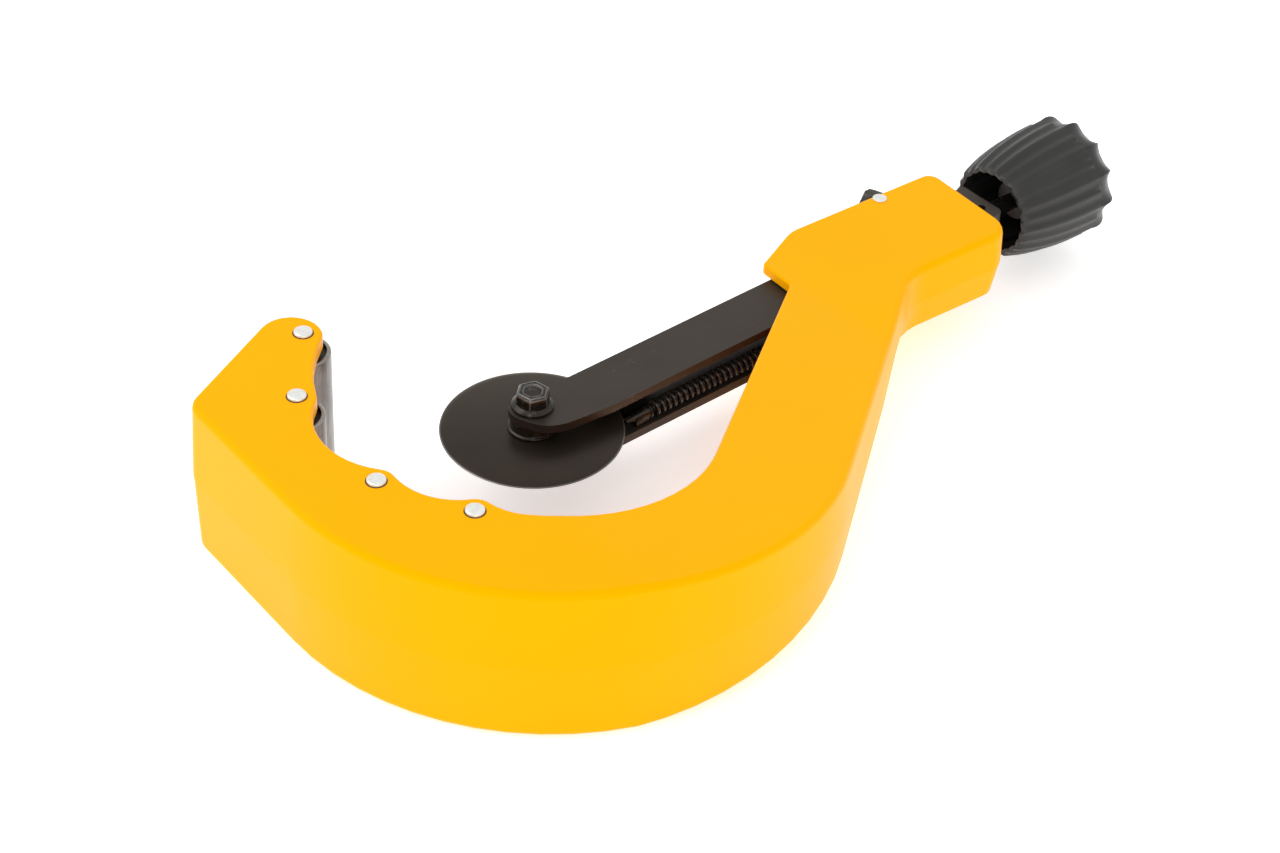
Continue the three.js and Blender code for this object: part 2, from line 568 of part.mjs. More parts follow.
function knobSolid() {
  const outer = KNOB_PROFILE.map(([distance, rise]) => [KNOB_MOUTH_RADIUS + rise, KNOB_START_X + distance]);
  const end = KNOB_START_X + KNOB_LENGTH;
  const hubStart = KNOB_START_X + 12;
  const inside = KNOB_MOUTH_RADIUS - KNOB_WALL;
  const profile = [
    [inside, KNOB_START_X + 0.4], ...outer, [SHANK_RADIUS + 3.5, end], [SHANK_RADIUS + 3.5, end - 4],
    [SHANK_RADIUS + GAP, end - 4], [SHANK_RADIUS + GAP, hubStart], [KNOB_HUB_RADIUS, hubStart],
    [KNOB_HUB_RADIUS, end - 9], [inside + 5, end - 9], [inside + 4, KNOB_START_X + 28], [inside + 1.6, KNOB_START_X + 10],
    [inside, KNOB_START_X + 0.4],
  ];
  const points = profile.map(([radius, distance]) => new THREE.Vector2(radius, distance));
  const segments = KNOB_FLUTES * 3;
  const geometry = new THREE.LatheGeometry(points, segments);
  const position = geometry.attributes.position;
  for (let i = 0; i < position.count; i += 1) {
    const x = position.getX(i);
    const z = position.getZ(i);
    const radius = Math.hypot(x, z);
    const distance = position.getY(i) - KNOB_START_X;
    if (radius > KNOB_MOUTH_RADIUS - 0.5 && distance < KNOB_LENGTH - 0.5) {
      const crown = distance > 40;
      const waves = crown ? KNOB_FLUTES / 2 : KNOB_FLUTES;
      const depth = crown ? 2 * KNOB_FLUTE_DEPTH : KNOB_FLUTE_DEPTH;
      const scale = 1 - (depth * (1 - Math.cos(Math.atan2(z, x) * waves))) / (2 * radius);
      position.setX(i, x * scale);
      position.setZ(i, z * scale);
    }
  }
  geometry.rotateX(Math.PI / 2);
  geometry.rotateY(Math.PI / 2);
  geometry.translate(0, ...SCREW_AXIS);
  const pinX = KNOB_START_X + 22;
  return toSolid(geometry).subtract(knobPinSolid(pinX, GAP));
}

/** The pin through the knob's hub and the screw's shank. */
function knobPinSolid(x, extra) {
  return turnedZ(rodProfile(1.5 + extra, MID_Z - KNOB_HUB_RADIUS - extra, MID_Z + KNOB_HUB_RADIUS + extra),
    [x, SCREW_Y], 12);
}

function knobCap() {
  const end = KNOB_START_X + KNOB_LENGTH;
  return turnedX([
    [0, end - 3.7], [SHANK_RADIUS + 3.2, end - 3.7], [SHANK_RADIUS + 3.2, end - 0.8], [SHANK_RADIUS + 2.2, end - 0.1],
    [0, end + 0.3],
  ], SCREW_AXIS, 24);
}

// ---------------------------------------------------------------- release latch
function latchOutline() {
  const [px, py] = LATCH_PIVOT;
  const nutNear = SCREW_Y + 1.2;
  return [
    [LATCH_NUT_X[0], nutNear], [LATCH_NUT_X[1], nutNear], [LATCH_NUT_X[1], SLIDE_FAR_Y + 1],
    [px + 3.5, SLIDE_FAR_Y + 1.6], [px + 12.5, py - 3.5], [px + 12.5, py + 2], [px + 10.8, LATCH_REACH_Y - 2.5],
    [px + 9.6, LATCH_REACH_Y], [px + 6.9, LATCH_REACH_Y], [px - 1.9, LATCH_REACH_Y - 5.4],
    [px - 4.6, py + 2.6], [px - 5.6, py - 1.5], [LATCH_NUT_X[1] - 2, LATCH_BACK_Y], [LATCH_NUT_X[0], LATCH_BACK_Y],
  ];
}

function latchSolid() {
  let latch = raise(shapeOf(latchOutline()), MID_Z - LATCH_HALF_HEIGHT, MID_Z + LATCH_HALF_HEIGHT);
  // The part that reaches through the slide's web is lower, and its end is a half nut round the screw
  const reach = 5.6 - GAP;
  for (const [low, high] of [[MID_Z - 20, MID_Z - reach], [MID_Z + reach, MID_Z + 20]]) {
    latch = latch.subtract(box([100, -20, low], [LATCH_PIVOT[0] - 8, SLIDE_FAR_Y + 0.6, high]));
  }
  latch = latch.subtract(turnedX(rodProfile(SCREW_RADIUS + GAP, 100, 250), SCREW_AXIS, 24));
  return latch.subtract(turnedZ(rodProfile(LATCH_PIN_RADIUS + GAP, 0, 2 * MID_Z), LATCH_PIVOT, 16));
}

function latchPin() {
  const top = MID_Z + HEAD_HALF_HEIGHT;
  return turnedZ([
    [0, MID_Z - HEAD_HALF_HEIGHT + 0.4], [LATCH_PIN_RADIUS, MID_Z - HEAD_HALF_HEIGHT + 0.4],
    [LATCH_PIN_RADIUS, top], [LATCH_PIN_RADIUS * 0.8, top + 0.7], [0, top + 0.7],
  ], LATCH_PIVOT, 16);
}

/** The small spring that pushes the half nut towards the screw. */
const latchSpring = () => turnedY(
  ringProfile(LATCH_SPRING_RADIUS, LATCH_SPRING_RADIUS - LATCH_SPRING_WIRE, LATCH_BACK_Y + GAP,
    LATCH_POCKET_FAR_Y - GAP),
  [LATCH_SPRING_X, MID_Z], 16);

// ---------------------------------------------------------------- return spring and its anchors
const springSolid = () => turnedX(
  ringProfile(SPRING_RADIUS, SPRING_RADIUS - SPRING_WIRE, SPRING_START_X, SPRING_END_X - POST_RADIUS - GAP),
  [SPRING_Y, SPRING_Z], 16);

/** A cone with a foot on the slide's lower flange, which holds the spring's front end. */
function frontAnchor() {
  const floor = MID_Z - innerHalf + GAP;
  const cone = turnedX([
    [0, SPRING_START_X - 11.4], [0.8, SPRING_START_X - 11.4], [2.4, SPRING_START_X - 1.2],
    [3.0, SPRING_START_X - 1.2], [3.0, SPRING_START_X - GAP], [0, SPRING_START_X - GAP],
  ], [SPRING_Y, SPRING_Z], 16);
  return cone.add(box([SPRING_START_X - 7.5, SPRING_Y - 2, floor], [SPRING_START_X - 1.2, SPRING_Y + 2, SPRING_Z]));
}

/** The post in the near guide wall that holds the spring's rear end. */
function postSolid(radius, extra) {
  const geometry = new THREE.CylinderGeometry(radius, radius, 11 + extra, 16);
  geometry.translate(SPRING_END_X, SPRING_Y + 2 - 11 / 2 - extra / 2, SPRING_Z);
  return toSolid(geometry);
}

// ---------------------------------------------------------------- assembly
const model = new THREE.Group();
const object = new THREE.Group();
model.add(object);

function place(name, solid, surface) {
  const mesh = new THREE.Mesh(toGeometry(solid), surface);
  mesh.name = name;
  object.add(mesh);
}

place('frame', buildFrame(), yellowPaint());
axles.forEach((axle, i) => {
  const number = i + 1;
  const low = MID_Z - HOOK_HALF_HEIGHT + HOOK_PLATE + GAP;
  const high = MID_Z + HOOK_HALF_HEIGHT - HOOK_PLATE - GAP - WASHER_THICKNESS;
  place(`roller_${number}`, rollerSolid(axle), rollerSteel());
  place(`roller_axle_${number}`, axleSolid(axle), nickelPlate());
  place(`roller_washer_${number}_bottom`, washerSolid(axle, low), blackOxide());
  place(`roller_washer_${number}_top`, washerSolid(axle, high), blackOxide());
});
place('slide_arm', buildSlide(), blackOxide());
place('cutting_wheel', wheelSolid(), blackOxide());
place('wheel_bush', bushSolid(), bronze());
place('wheel_spacer_bottom', spacerSolid(MID_Z - innerHalf + GAP, MID_Z - halfWheel - GAP), blackOxide());
place('wheel_spacer_top', spacerSolid(MID_Z + halfWheel + GAP, MID_Z + innerHalf - GAP), blackOxide());
place('wheel_bolt', boltSolid(), blackOxide());
place('wheel_nut', nutSolid(), blackOxide());
place('feed_screw', screwSolid().subtract(knobPinSolid(KNOB_START_X + 22, GAP)), blackOxide());
place('front_bearing_block', frontBlock(), blackOxide());
place('front_block_screw', blockScrewSolid(0), blackOxide());
place('tail_bearing_block', tailBlock(), blackOxide());
place('tail_block_pin', crossPin(TAIL_HOLE, TAIL_PIN_RADIUS, 1.2), blackOxide());
place('thrust_collar', collarSolid(), blackOxide());
place('knob', knobSolid(), blackPlastic());
place('knob_pin', knobPinSolid(KNOB_START_X + 22, -0.2), nickelPlate());
place('knob_cap', knobCap(), blackPlastic());
place('release_latch', latchSolid(), blackOxide());
place('latch_pin', latchPin(), nickelPlate());
place('latch_spring', latchSpring(), nickelPlate());
place('return_spring', springSolid(), blackOxide());
place('front_spring_anchor', frontAnchor(), blackOxide());
place('rear_spring_post', postSolid(POST_RADIUS, 0), nickelPlate());

// The origin is the middle of the box round the whole tool, on the resting plane.
const bounds = new THREE.Box3().setFromObject(object);
object.position.set(-(bounds.min.x + bounds.max.x) / 2, -(bounds.min.y + bounds.max.y) / 2, -bounds.min.z);

export default model;
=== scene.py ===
"""A telescopic cutter for plastic pipe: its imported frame, dressed with finished pieces for a studio view."""

from __future__ import annotations

import json
import logging
import math
from contextlib import contextmanager
from dataclasses import dataclass, field
from enum import Enum
from typing import Callable, Iterator, Sequence

import bmesh
import bpy
from mathutils import Matrix, Vector

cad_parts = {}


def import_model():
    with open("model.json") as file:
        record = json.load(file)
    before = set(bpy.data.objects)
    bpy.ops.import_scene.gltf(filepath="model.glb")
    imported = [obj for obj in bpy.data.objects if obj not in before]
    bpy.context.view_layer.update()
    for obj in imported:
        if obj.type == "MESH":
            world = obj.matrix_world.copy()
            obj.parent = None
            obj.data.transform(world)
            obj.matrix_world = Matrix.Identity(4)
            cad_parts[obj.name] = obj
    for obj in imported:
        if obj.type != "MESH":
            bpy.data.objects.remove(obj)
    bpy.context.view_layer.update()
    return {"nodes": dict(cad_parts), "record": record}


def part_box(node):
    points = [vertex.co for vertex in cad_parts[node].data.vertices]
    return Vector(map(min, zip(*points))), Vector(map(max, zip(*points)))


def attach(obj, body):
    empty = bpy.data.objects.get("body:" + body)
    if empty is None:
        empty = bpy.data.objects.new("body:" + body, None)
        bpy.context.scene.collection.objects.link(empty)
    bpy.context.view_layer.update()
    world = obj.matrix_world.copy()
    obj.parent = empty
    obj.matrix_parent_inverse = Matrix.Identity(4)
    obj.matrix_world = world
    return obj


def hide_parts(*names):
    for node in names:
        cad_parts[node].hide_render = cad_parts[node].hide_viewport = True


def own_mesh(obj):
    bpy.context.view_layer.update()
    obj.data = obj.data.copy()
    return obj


LOG = logging.getLogger("pipe_cutter")
MM = 0.001

Station = tuple[float, float]
Colour = tuple[float, float, float]


class Axis(Enum):
    """The row axis that a turned piece stands on."""

    X = "X"
    Y = "Y"
    Z = "Z"

    @property
    def turn(self) -> Matrix:
        """The rotation that takes +Z to this axis."""
        return {
            Axis.X: Matrix.Rotation(math.pi / 2, 4, "Y"),
            Axis.Y: Matrix.Rotation(-math.pi / 2, 4, "X"),
            Axis.Z: Matrix.Identity(4),
        }[self]


# ---------------------------------------------------------------- the bench: operators as by hand


class Bench:
    """Small steps with Blender's operators, each on one piece."""

    @staticmethod
    def clear() -> None:
        """Deselects every object."""
        if bpy.context.object and bpy.context.object.mode != "OBJECT":
            bpy.ops.object.mode_set(mode="OBJECT")
        bpy.ops.object.select_all(action="DESELECT")

    @staticmethod
    def hold(piece: bpy.types.Object) -> None:
        """Makes a piece the only selected and the active one."""
        Bench.clear()
        piece.select_set(True)
        bpy.context.view_layer.objects.active = piece

    @staticmethod
    @contextmanager
    def editing(piece: bpy.types.Object) -> Iterator[None]:
        """Edit mode on one piece with nothing selected.

        Args:
            piece: The piece to edit.
        """
        Bench.hold(piece)
        bpy.ops.object.mode_set(mode="EDIT")
        bpy.ops.mesh.select_all(action="DESELECT")
        yield
        bpy.ops.object.mode_set(mode="OBJECT")

    @staticmethod
    def pick(piece: bpy.types.Object, kind: str, test: Callable[[object], bool]) -> None:
        """Selects the faces or the edges that pass a test, in edit mode.

        Args:
            piece: The piece in edit mode.
            kind: Either "faces" or "edges".
            test: Says whether one of them is taken.
        """
        mesh = bmesh.from_edit_mesh(piece.data)
        bpy.context.tool_settings.mesh_select_mode = (False, kind == "edges", kind == "faces")
        for part in getattr(mesh, kind):
            part.select_set(bool(test(part)))
        mesh.select_flush_mode()
        bmesh.update_edit_mesh(piece.data)

    @staticmethod
    def smooth(piece: bpy.types.Object, degrees: float = 40.0) -> None:
        """Shades smooth, with edges sharper than an angle kept sharp.

        Args:
            piece: The piece to shade.
            degrees: The angle.
        """
        Bench.hold(piece)
        bpy.ops.object.shade_smooth_by_angle(angle=math.radians(degrees), keep_sharp_edges=False)

    @staticmethod
    def outward(piece: bpy.types.Object) -> None:
        """Merges doubled points and turns the faces outwards."""
        with Bench.editing(piece):
            bpy.ops.mesh.select_all(action="SELECT")
            bpy.ops.mesh.remove_doubles(threshold=1e-7)
            bpy.ops.mesh.normals_make_consistent(inside=False)

    @staticmethod
    def bevel(
        piece: bpy.types.Object, width: float, segments: int = 2, degrees: float = 40.0, slot: int = -1
    ) -> None:
        """Rounds every edge sharper than an angle with an applied modifier.

        Args:
            piece: The piece to round.
            width: The rounding's width in metres.
            segments: Faces across the rounding.
            degrees: The least angle of a rounded edge.
            slot: The material slot of the rounding, or -1 for that of its neighbours.
        """
        Bench.hold(piece)
        modifier = piece.modifiers.new("round", "BEVEL")
        modifier.width = width
        modifier.segments = segments
        modifier.limit_method = "ANGLE"
        modifier.angle_limit = math.radians(degrees)
        modifier.harden_normals = False
        modifier.material = slot
        bpy.ops.object.modifier_apply(modifier=modifier.name)

    @staticmethod
    def weigh_normals(piece: bpy.types.Object, degrees: float = 40.0) -> None:
        """Lets the large faces rule the shading at each corner.

        Args:
            piece: The piece to shade.
            degrees: Faces that meet at more than this stay sharp.
        """
        mesh = piece.data
        least = math.cos(math.radians(degrees))
        around: list[list[int]] = [[] for _ in mesh.vertices]
        for polygon in mesh.polygons:
            for index in polygon.vertices:
                around[index].append(polygon.index)
        faces = [(polygon.normal.copy(), polygon.area) for polygon in mesh.polygons]
        normals: list[Vector] = [Vector((0.0, 0.0, 1.0))] * len(mesh.loops)
        for polygon in mesh.polygons:
            own = faces[polygon.index][0]
            for loop, index in zip(polygon.loop_indices, polygon.vertices):
                near = [faces[other] for other in around[index] if faces[other][0].dot(own) > least]
                largest = max(area for _, area in near)
                total = Vector((0.0, 0.0, 0.0))
                for normal, area in near:
                    if area > 0.3 * largest:
                        total += normal * area
                normals[loop] = total.normalized() if total.length > 0.0 else own
        mesh.normals_split_custom_set(normals)

    @staticmethod
    def join(pieces: Sequence[bpy.types.Object]) -> bpy.types.Object:
        """Joins pieces into the first.

        Args:
            pieces: The pieces, the one that stays first.

        Returns:
            The joined piece.
        """
        Bench.clear()
        for piece in pieces:
            piece.select_set(True)
        bpy.context.view_layer.objects.active = pieces[0]
        bpy.ops.object.join()
        return pieces[0]

    @staticmethod
    def copy_to(piece: bpy.types.Object, name: str, offset: Vector) -> bpy.types.Object:
        """A copy with its own mesh, moved.

        Args:
            piece: The finished piece.
            name: The copy's name.
            offset: How far the copy stands from the piece.

        Returns:
            The copy.
        """
        twin = bpy.data.objects.new(name, piece.data.copy())
        bpy.context.scene.collection.objects.link(twin)
        twin.data.transform(Matrix.Translation(offset))
        return twin

    @staticmethod
    def lifted(name: str, node: str) -> bpy.types.Object:
        """A merged copy of a CAD node's mesh, with flat faces made whole.

        Args:
            name: The new piece's name.
            node: The CAD node.

        Returns:
            The new piece.
        """
        piece = bpy.data.objects.new(name, FRAME["nodes"][node].data.copy())
        piece.data.materials.clear()
        bpy.context.scene.collection.objects.link(piece)
        with Bench.editing(piece):
            bpy.ops.mesh.select_all(action="SELECT")
            bpy.ops.mesh.customdata_custom_splitnormals_clear()
            bpy.ops.mesh.remove_doubles(threshold=2e-6)
            bpy.ops.mesh.dissolve_limited(angle_limit=math.radians(0.4))
            bpy.ops.mesh.normals_make_consistent(inside=False)
        return piece

    @staticmethod
    def turned(
        name: str,
        stations: Sequence[Station],
        centre: Vector,
        axis: Axis = Axis.Z,
        segments: int = 64,
    ) -> bpy.types.Object:
        """A turned piece: a circle extruded and scaled from station to station.

        Args:
            name: The piece's name.
            stations: Radius and height, in metres, from one end to the other.
            centre: The point on the axis at height zero.
            axis: The axis it stands on.
            segments: Points round the circle.

        Returns:
            The closed piece.
        """
        Bench.clear()
        first_radius, first_height = stations[0]
        bpy.ops.mesh.primitive_circle_add(
            vertices=segments, radius=first_radius, fill_type="NGON", location=(0.0, 0.0, first_height)
        )
        piece = bpy.context.object
        piece.name = piece.data.name = name
        bpy.ops.object.transform_apply(location=True, rotation=True, scale=True)
        with Bench.editing(piece):
            bpy.ops.mesh.select_all(action="SELECT")
            radius, height = first_radius, first_height
            for next_radius, next_height in stations[1:]:
                bpy.ops.mesh.extrude_region_move(
                    TRANSFORM_OT_translate={"value": (0.0, 0.0, next_height - height)}
                )
                ratio = next_radius / radius
                bpy.ops.transform.resize(value=(ratio, ratio, 1.0), center_override=(0.0, 0.0, next_height))
                radius, height = next_radius, next_height
            bpy.ops.mesh.select_all(action="SELECT")
            bpy.ops.mesh.normals_make_consistent(inside=False)
        piece.data.transform(Matrix.Translation(centre) @ axis.turn)
        return piece


def middle(node: str) -> Vector:
    """The middle of a CAD node's box."""
    low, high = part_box(node)
    return (low + high) / 2


def rising(value: float, start: float, length: float) -> float:
    """A share that goes from 0 to 1 over a span.

    Args:
        value: The place.
        start: Where the span starts.
        length: How long it is.

    Returns:
        The share.
    """
    return min(1.0, max(0.0, (value - start) / length))


# ---------------------------------------------------------------- finishes


class Wire:
    """Adds and links shader nodes in one tree."""

    def __init__(self, tree: bpy.types.NodeTree) -> None:
        """Starts on a tree."""
        self.tree = tree

    def add(self, kind: str, **settings: object) -> bpy.types.Node:
        """Adds a node and sets its properties and input values.

        Args:
            kind: The node's type.
            settings: Property names, or in_ and an input's name with spaces as underscores.

        Returns:
            The node.
        """
        node = self.tree.nodes.new(kind)
        for key, value in settings.items():
            if key.startswith("in_"):
                node.inputs[key[3:].replace("_", " ")].default_value = value
            else:
                setattr(node, key, value)
        return node

    def link(self, source: bpy.types.NodeSocket, target: bpy.types.NodeSocket) -> None:
        """Links two sockets."""
        self.tree.links.new(source, target)

    def math(self, operation: str, a: object, b: object = 0.0) -> bpy.types.NodeSocket:
        """A math node on sockets or numbers.

        Args:
            operation: The operation.
            a: The first socket or number.
            b: The second socket or number.

        Returns:
            The result's socket.
        """
        node = self.add("ShaderNodeMath", operation=operation)
        for slot, value in enumerate((a, b)):
            if isinstance(value, (int, float)):
                node.inputs[slot].default_value = value
            else:
                self.link(value, node.inputs[slot])
        return node.outputs[0]

    def ramp(
        self, source: bpy.types.NodeSocket, low: float, high: float, to_low: float = 0.0, to_high: float = 1.0
    ) -> bpy.types.NodeSocket:
        """Maps a range of a value to another, held at its ends.

        Args:
            source: The value.
            low: Where the range starts.
            high: Where it ends.
            to_low: The result at its start.
            to_high: The result at its end.

        Returns:
            The mapped value.
        """
        node = self.add("ShaderNodeMapRange", in_From_Min=low, in_From_Max=high, in_To_Min=to_low, in_To_Max=to_high)
        self.link(source, node.inputs["Value"])
        return node.outputs["Result"]

    def mix(self, factor: bpy.types.NodeSocket, a: object, b: object) -> bpy.types.NodeSocket:
        """Mixes two colours.

        Args:
            factor: The share of the second.
            a: A colour or a socket.
            b: A colour or a socket.

        Returns:
            The colour.
        """
        node = self.add("ShaderNodeMix", data_type="RGBA")
        self.link(factor, node.inputs[0])
        for slot, value in ((6, a), (7, b)):
            if isinstance(value, tuple):
                node.inputs[slot].default_value = (*value, 1.0)
            else:
                self.link(value, node.inputs[slot])
        return node.outputs[2]


def group_tree(
    name: str, numbers: dict[str, float], outputs: Sequence[str]
) -> tuple[bpy.types.NodeTree, Wire, bpy.types.Node, bpy.types.Node]:
    """A new shader node group with float inputs after a position, and float outputs.

    Args:
        name: The group's name.
        numbers: Its float inputs and their defaults.
        outputs: Its float outputs.

    Returns:
        The tree, a wire on it, its input node and its output node.
    """
    tree = bpy.data.node_groups.new(name, "ShaderNodeTree")
    tree.interface.new_socket("Position", in_out="INPUT", socket_type="NodeSocketVector")
    for key, value in numbers.items():
        tree.interface.new_socket(key, in_out="INPUT", socket_type="NodeSocketFloat").default_value = value
    for key in outputs:
        tree.interface.new_socket(key, in_out="OUTPUT", socket_type="NodeSocketFloat")
    wire = Wire(tree)
    return tree, wire, wire.add("NodeGroupInput"), wire.add("NodeGroupOutput")


class Effects:
    """The shared effects, each built once as a node group."""

    def __init__(self) -> None:
        """Builds every group."""
        self.mottle = self._mottle()
        self.grain = self._grain()
        self.streaks = self._streaks()
        self.scuffs = self._scuffs()

    @staticmethod
    def _mottle() -> bpy.types.NodeTree:
        """Slow cloudy variation, from 0 to 1.

        Returns:
            The group.
        """
        tree, wire, given, result = group_tree("slow_mottle", {"Scale": 30.0, "Detail": 4.0}, ["Value"])
        noise = wire.add("ShaderNodeTexNoise")
        wire.link(given.outputs["Position"], noise.inputs["Vector"])
        wire.link(given.outputs["Scale"], noise.inputs["Scale"])
        wire.link(given.outputs["Detail"], noise.inputs["Detail"])
        wire.link(wire.ramp(noise.outputs["Fac"], 0.3, 0.7), result.inputs["Value"])
        return tree

    @staticmethod
    def _grain() -> bpy.types.NodeTree:
        """The fine relief of a sprayed or moulded skin.

        Returns:
            The group.
        """
        tree, wire, given, result = group_tree("fine_grain", {"Scale": 900.0}, ["Height"])
        noise = wire.add("ShaderNodeTexNoise", in_Detail=2.0, in_Roughness=0.6)
        wire.link(given.outputs["Position"], noise.inputs["Vector"])
        wire.link(given.outputs["Scale"], noise.inputs["Scale"])
        wire.link(noise.outputs["Fac"], result.inputs["Height"])
        return tree

    @staticmethod
    def _streaks() -> bpy.types.NodeTree:
        """Long thin streaks: noise stretched by its stretch along each axis.

        Returns:
            The group.
        """
        tree, wire, given, result = group_tree(
            "drawn_streaks", {"Along X": 1.0, "Along Y": 1.0, "Along Z": 1.0, "Scale": 900.0}, ["Value"]
        )
        stretch = wire.add("ShaderNodeCombineXYZ")
        for slot, key in enumerate(("Along X", "Along Y", "Along Z")):
            wire.link(given.outputs[key], stretch.inputs[slot])
        scaled = wire.add("ShaderNodeVectorMath", operation="MULTIPLY")
        wire.link(given.outputs["Position"], scaled.inputs[0])
        wire.link(stretch.outputs[0], scaled.inputs[1])
        noise = wire.add("ShaderNodeTexNoise", in_Detail=3.0)
        wire.link(scaled.outputs[0], noise.inputs["Vector"])
        wire.link(given.outputs["Scale"], noise.inputs["Scale"])
        wire.link(wire.ramp(noise.outputs["Fac"], 0.32, 0.68), result.inputs["Value"])
        return tree

    @staticmethod
    def _scuffs() -> bpy.types.NodeTree:
        """Sparse small marks of use.

        Returns:
            The group.
        """
        tree, wire, given, result = group_tree("sparse_scuffs", {"Scale": 60.0, "Share": 0.2}, ["Mask"])
        broad = wire.add("ShaderNodeTexNoise", in_Detail=1.0)
        fine = wire.add("ShaderNodeTexNoise", in_Detail=6.0, in_Roughness=0.7)
        wire.link(given.outputs["Position"], broad.inputs["Vector"])
        wire.link(given.outputs["Position"], fine.inputs["Vector"])
        wire.link(given.outputs["Scale"], broad.inputs["Scale"])
        wire.link(wire.math("MULTIPLY", given.outputs["Scale"], 9.0), fine.inputs["Scale"])
        both = wire.math("MULTIPLY", broad.outputs["Fac"], fine.outputs["Fac"])
        edge = wire.math("SUBTRACT", 0.46, wire.math("MULTIPLY", given.outputs["Share"], 0.4))
        mask = wire.math("MULTIPLY", wire.math("SUBTRACT", both, edge), 14.0)
        clamp = wire.add("ShaderNodeClamp")
        wire.link(mask, clamp.inputs[0])
        wire.link(clamp.outputs[0], result.inputs["Mask"])
        return tree


@dataclass(frozen=True)
class Finish:
    """One surface finish: colours, gloss, relief and marks, with sizes in waves per metre."""

    name: str
    base: Colour
    tint: Colour
    roughness: float
    metallic: float = 0.0
    roughness_swing: float = 0.06
    mottle_scale: float = 25.0
    grain_scale: float = 1400.0
    grain_height: float = 0.02
    streaks: tuple[float, float, float] | None = None
    streak_scale: float = 1.0
    streak_share: float = 0.0
    streak_colour: Colour = (0.5, 0.5, 0.5)
    scuff_share: float = 0.0
    scuff_scale: float = 70.0
    scuff_colour: Colour = (0.4, 0.4, 0.4)
    specular: float = 0.5
    specular_tint: Colour = (1.0, 1.0, 1.0)

    def build(self, effects: Effects) -> bpy.types.Material:
        """Makes the material.

        Args:
            effects: The shared groups.

        Returns:
            The material.
        """
        material = bpy.data.materials.new(self.name)
        material.use_nodes = True
        material.diffuse_color = (*self.base, 1.0)
        tree = material.node_tree
        tree.nodes.clear()
        wire = Wire(tree)
        out = wire.add("ShaderNodeOutputMaterial")
        shader = wire.add(
            "ShaderNodeBsdfPrincipled",
            in_Metallic=self.metallic,
            in_Specular_IOR_Level=self.specular,
            in_Specular_Tint=(*self.specular_tint, 1.0),
        )
        wire.link(shader.outputs[0], out.inputs[0])
        position = wire.add("ShaderNodeTexCoord").outputs["Object"]

        mottle = wire.add("ShaderNodeGroup", node_tree=effects.mottle, in_Scale=self.mottle_scale)
        wire.link(position, mottle.inputs["Position"])
        colour = wire.mix(mottle.outputs["Value"], self.base, self.tint)
        swing = self.roughness_swing
        rough = wire.ramp(mottle.outputs["Value"], 0.0, 1.0, self.roughness - swing, self.roughness + swing)
        grain = wire.add("ShaderNodeGroup", node_tree=effects.grain, in_Scale=self.grain_scale)
        wire.link(position, grain.inputs["Position"])
        height = grain.outputs["Height"]
        if self.streaks is not None:
            streaks = wire.add("ShaderNodeGroup", node_tree=effects.streaks, in_Scale=self.streak_scale)
            for key, value in zip(("Along X", "Along Y", "Along Z"), self.streaks):
                streaks.inputs[key].default_value = value
            wire.link(position, streaks.inputs["Position"])
            share = wire.math("MULTIPLY", streaks.outputs["Value"], self.streak_share)
            colour = wire.mix(share, colour, self.streak_colour)
            height = wire.math("ADD", height, streaks.outputs["Value"])
            rough = wire.math("ADD", rough, wire.math("MULTIPLY", streaks.outputs["Value"], 0.08))
        if self.scuff_share > 0.0:
            scuffs = wire.add(
                "ShaderNodeGroup", node_tree=effects.scuffs, in_Scale=self.scuff_scale, in_Share=self.scuff_share
            )
            wire.link(position, scuffs.inputs["Position"])
            colour = wire.mix(wire.math("MULTIPLY", scuffs.outputs["Mask"], 0.5), colour, self.scuff_colour)
            rough = wire.math("ADD", rough, wire.math("MULTIPLY", scuffs.outputs["Mask"], 0.12))
        wire.link(colour, shader.inputs["Base Color"])
        wire.link(rough, shader.inputs["Roughness"])
        bump = wire.add("ShaderNodeBump", in_Strength=1.0, in_Distance=self.grain_height * MM)
        wire.link(height, bump.inputs["Height"])
        wire.link(bump.outputs[0], shader.inputs["Normal"])
        return material


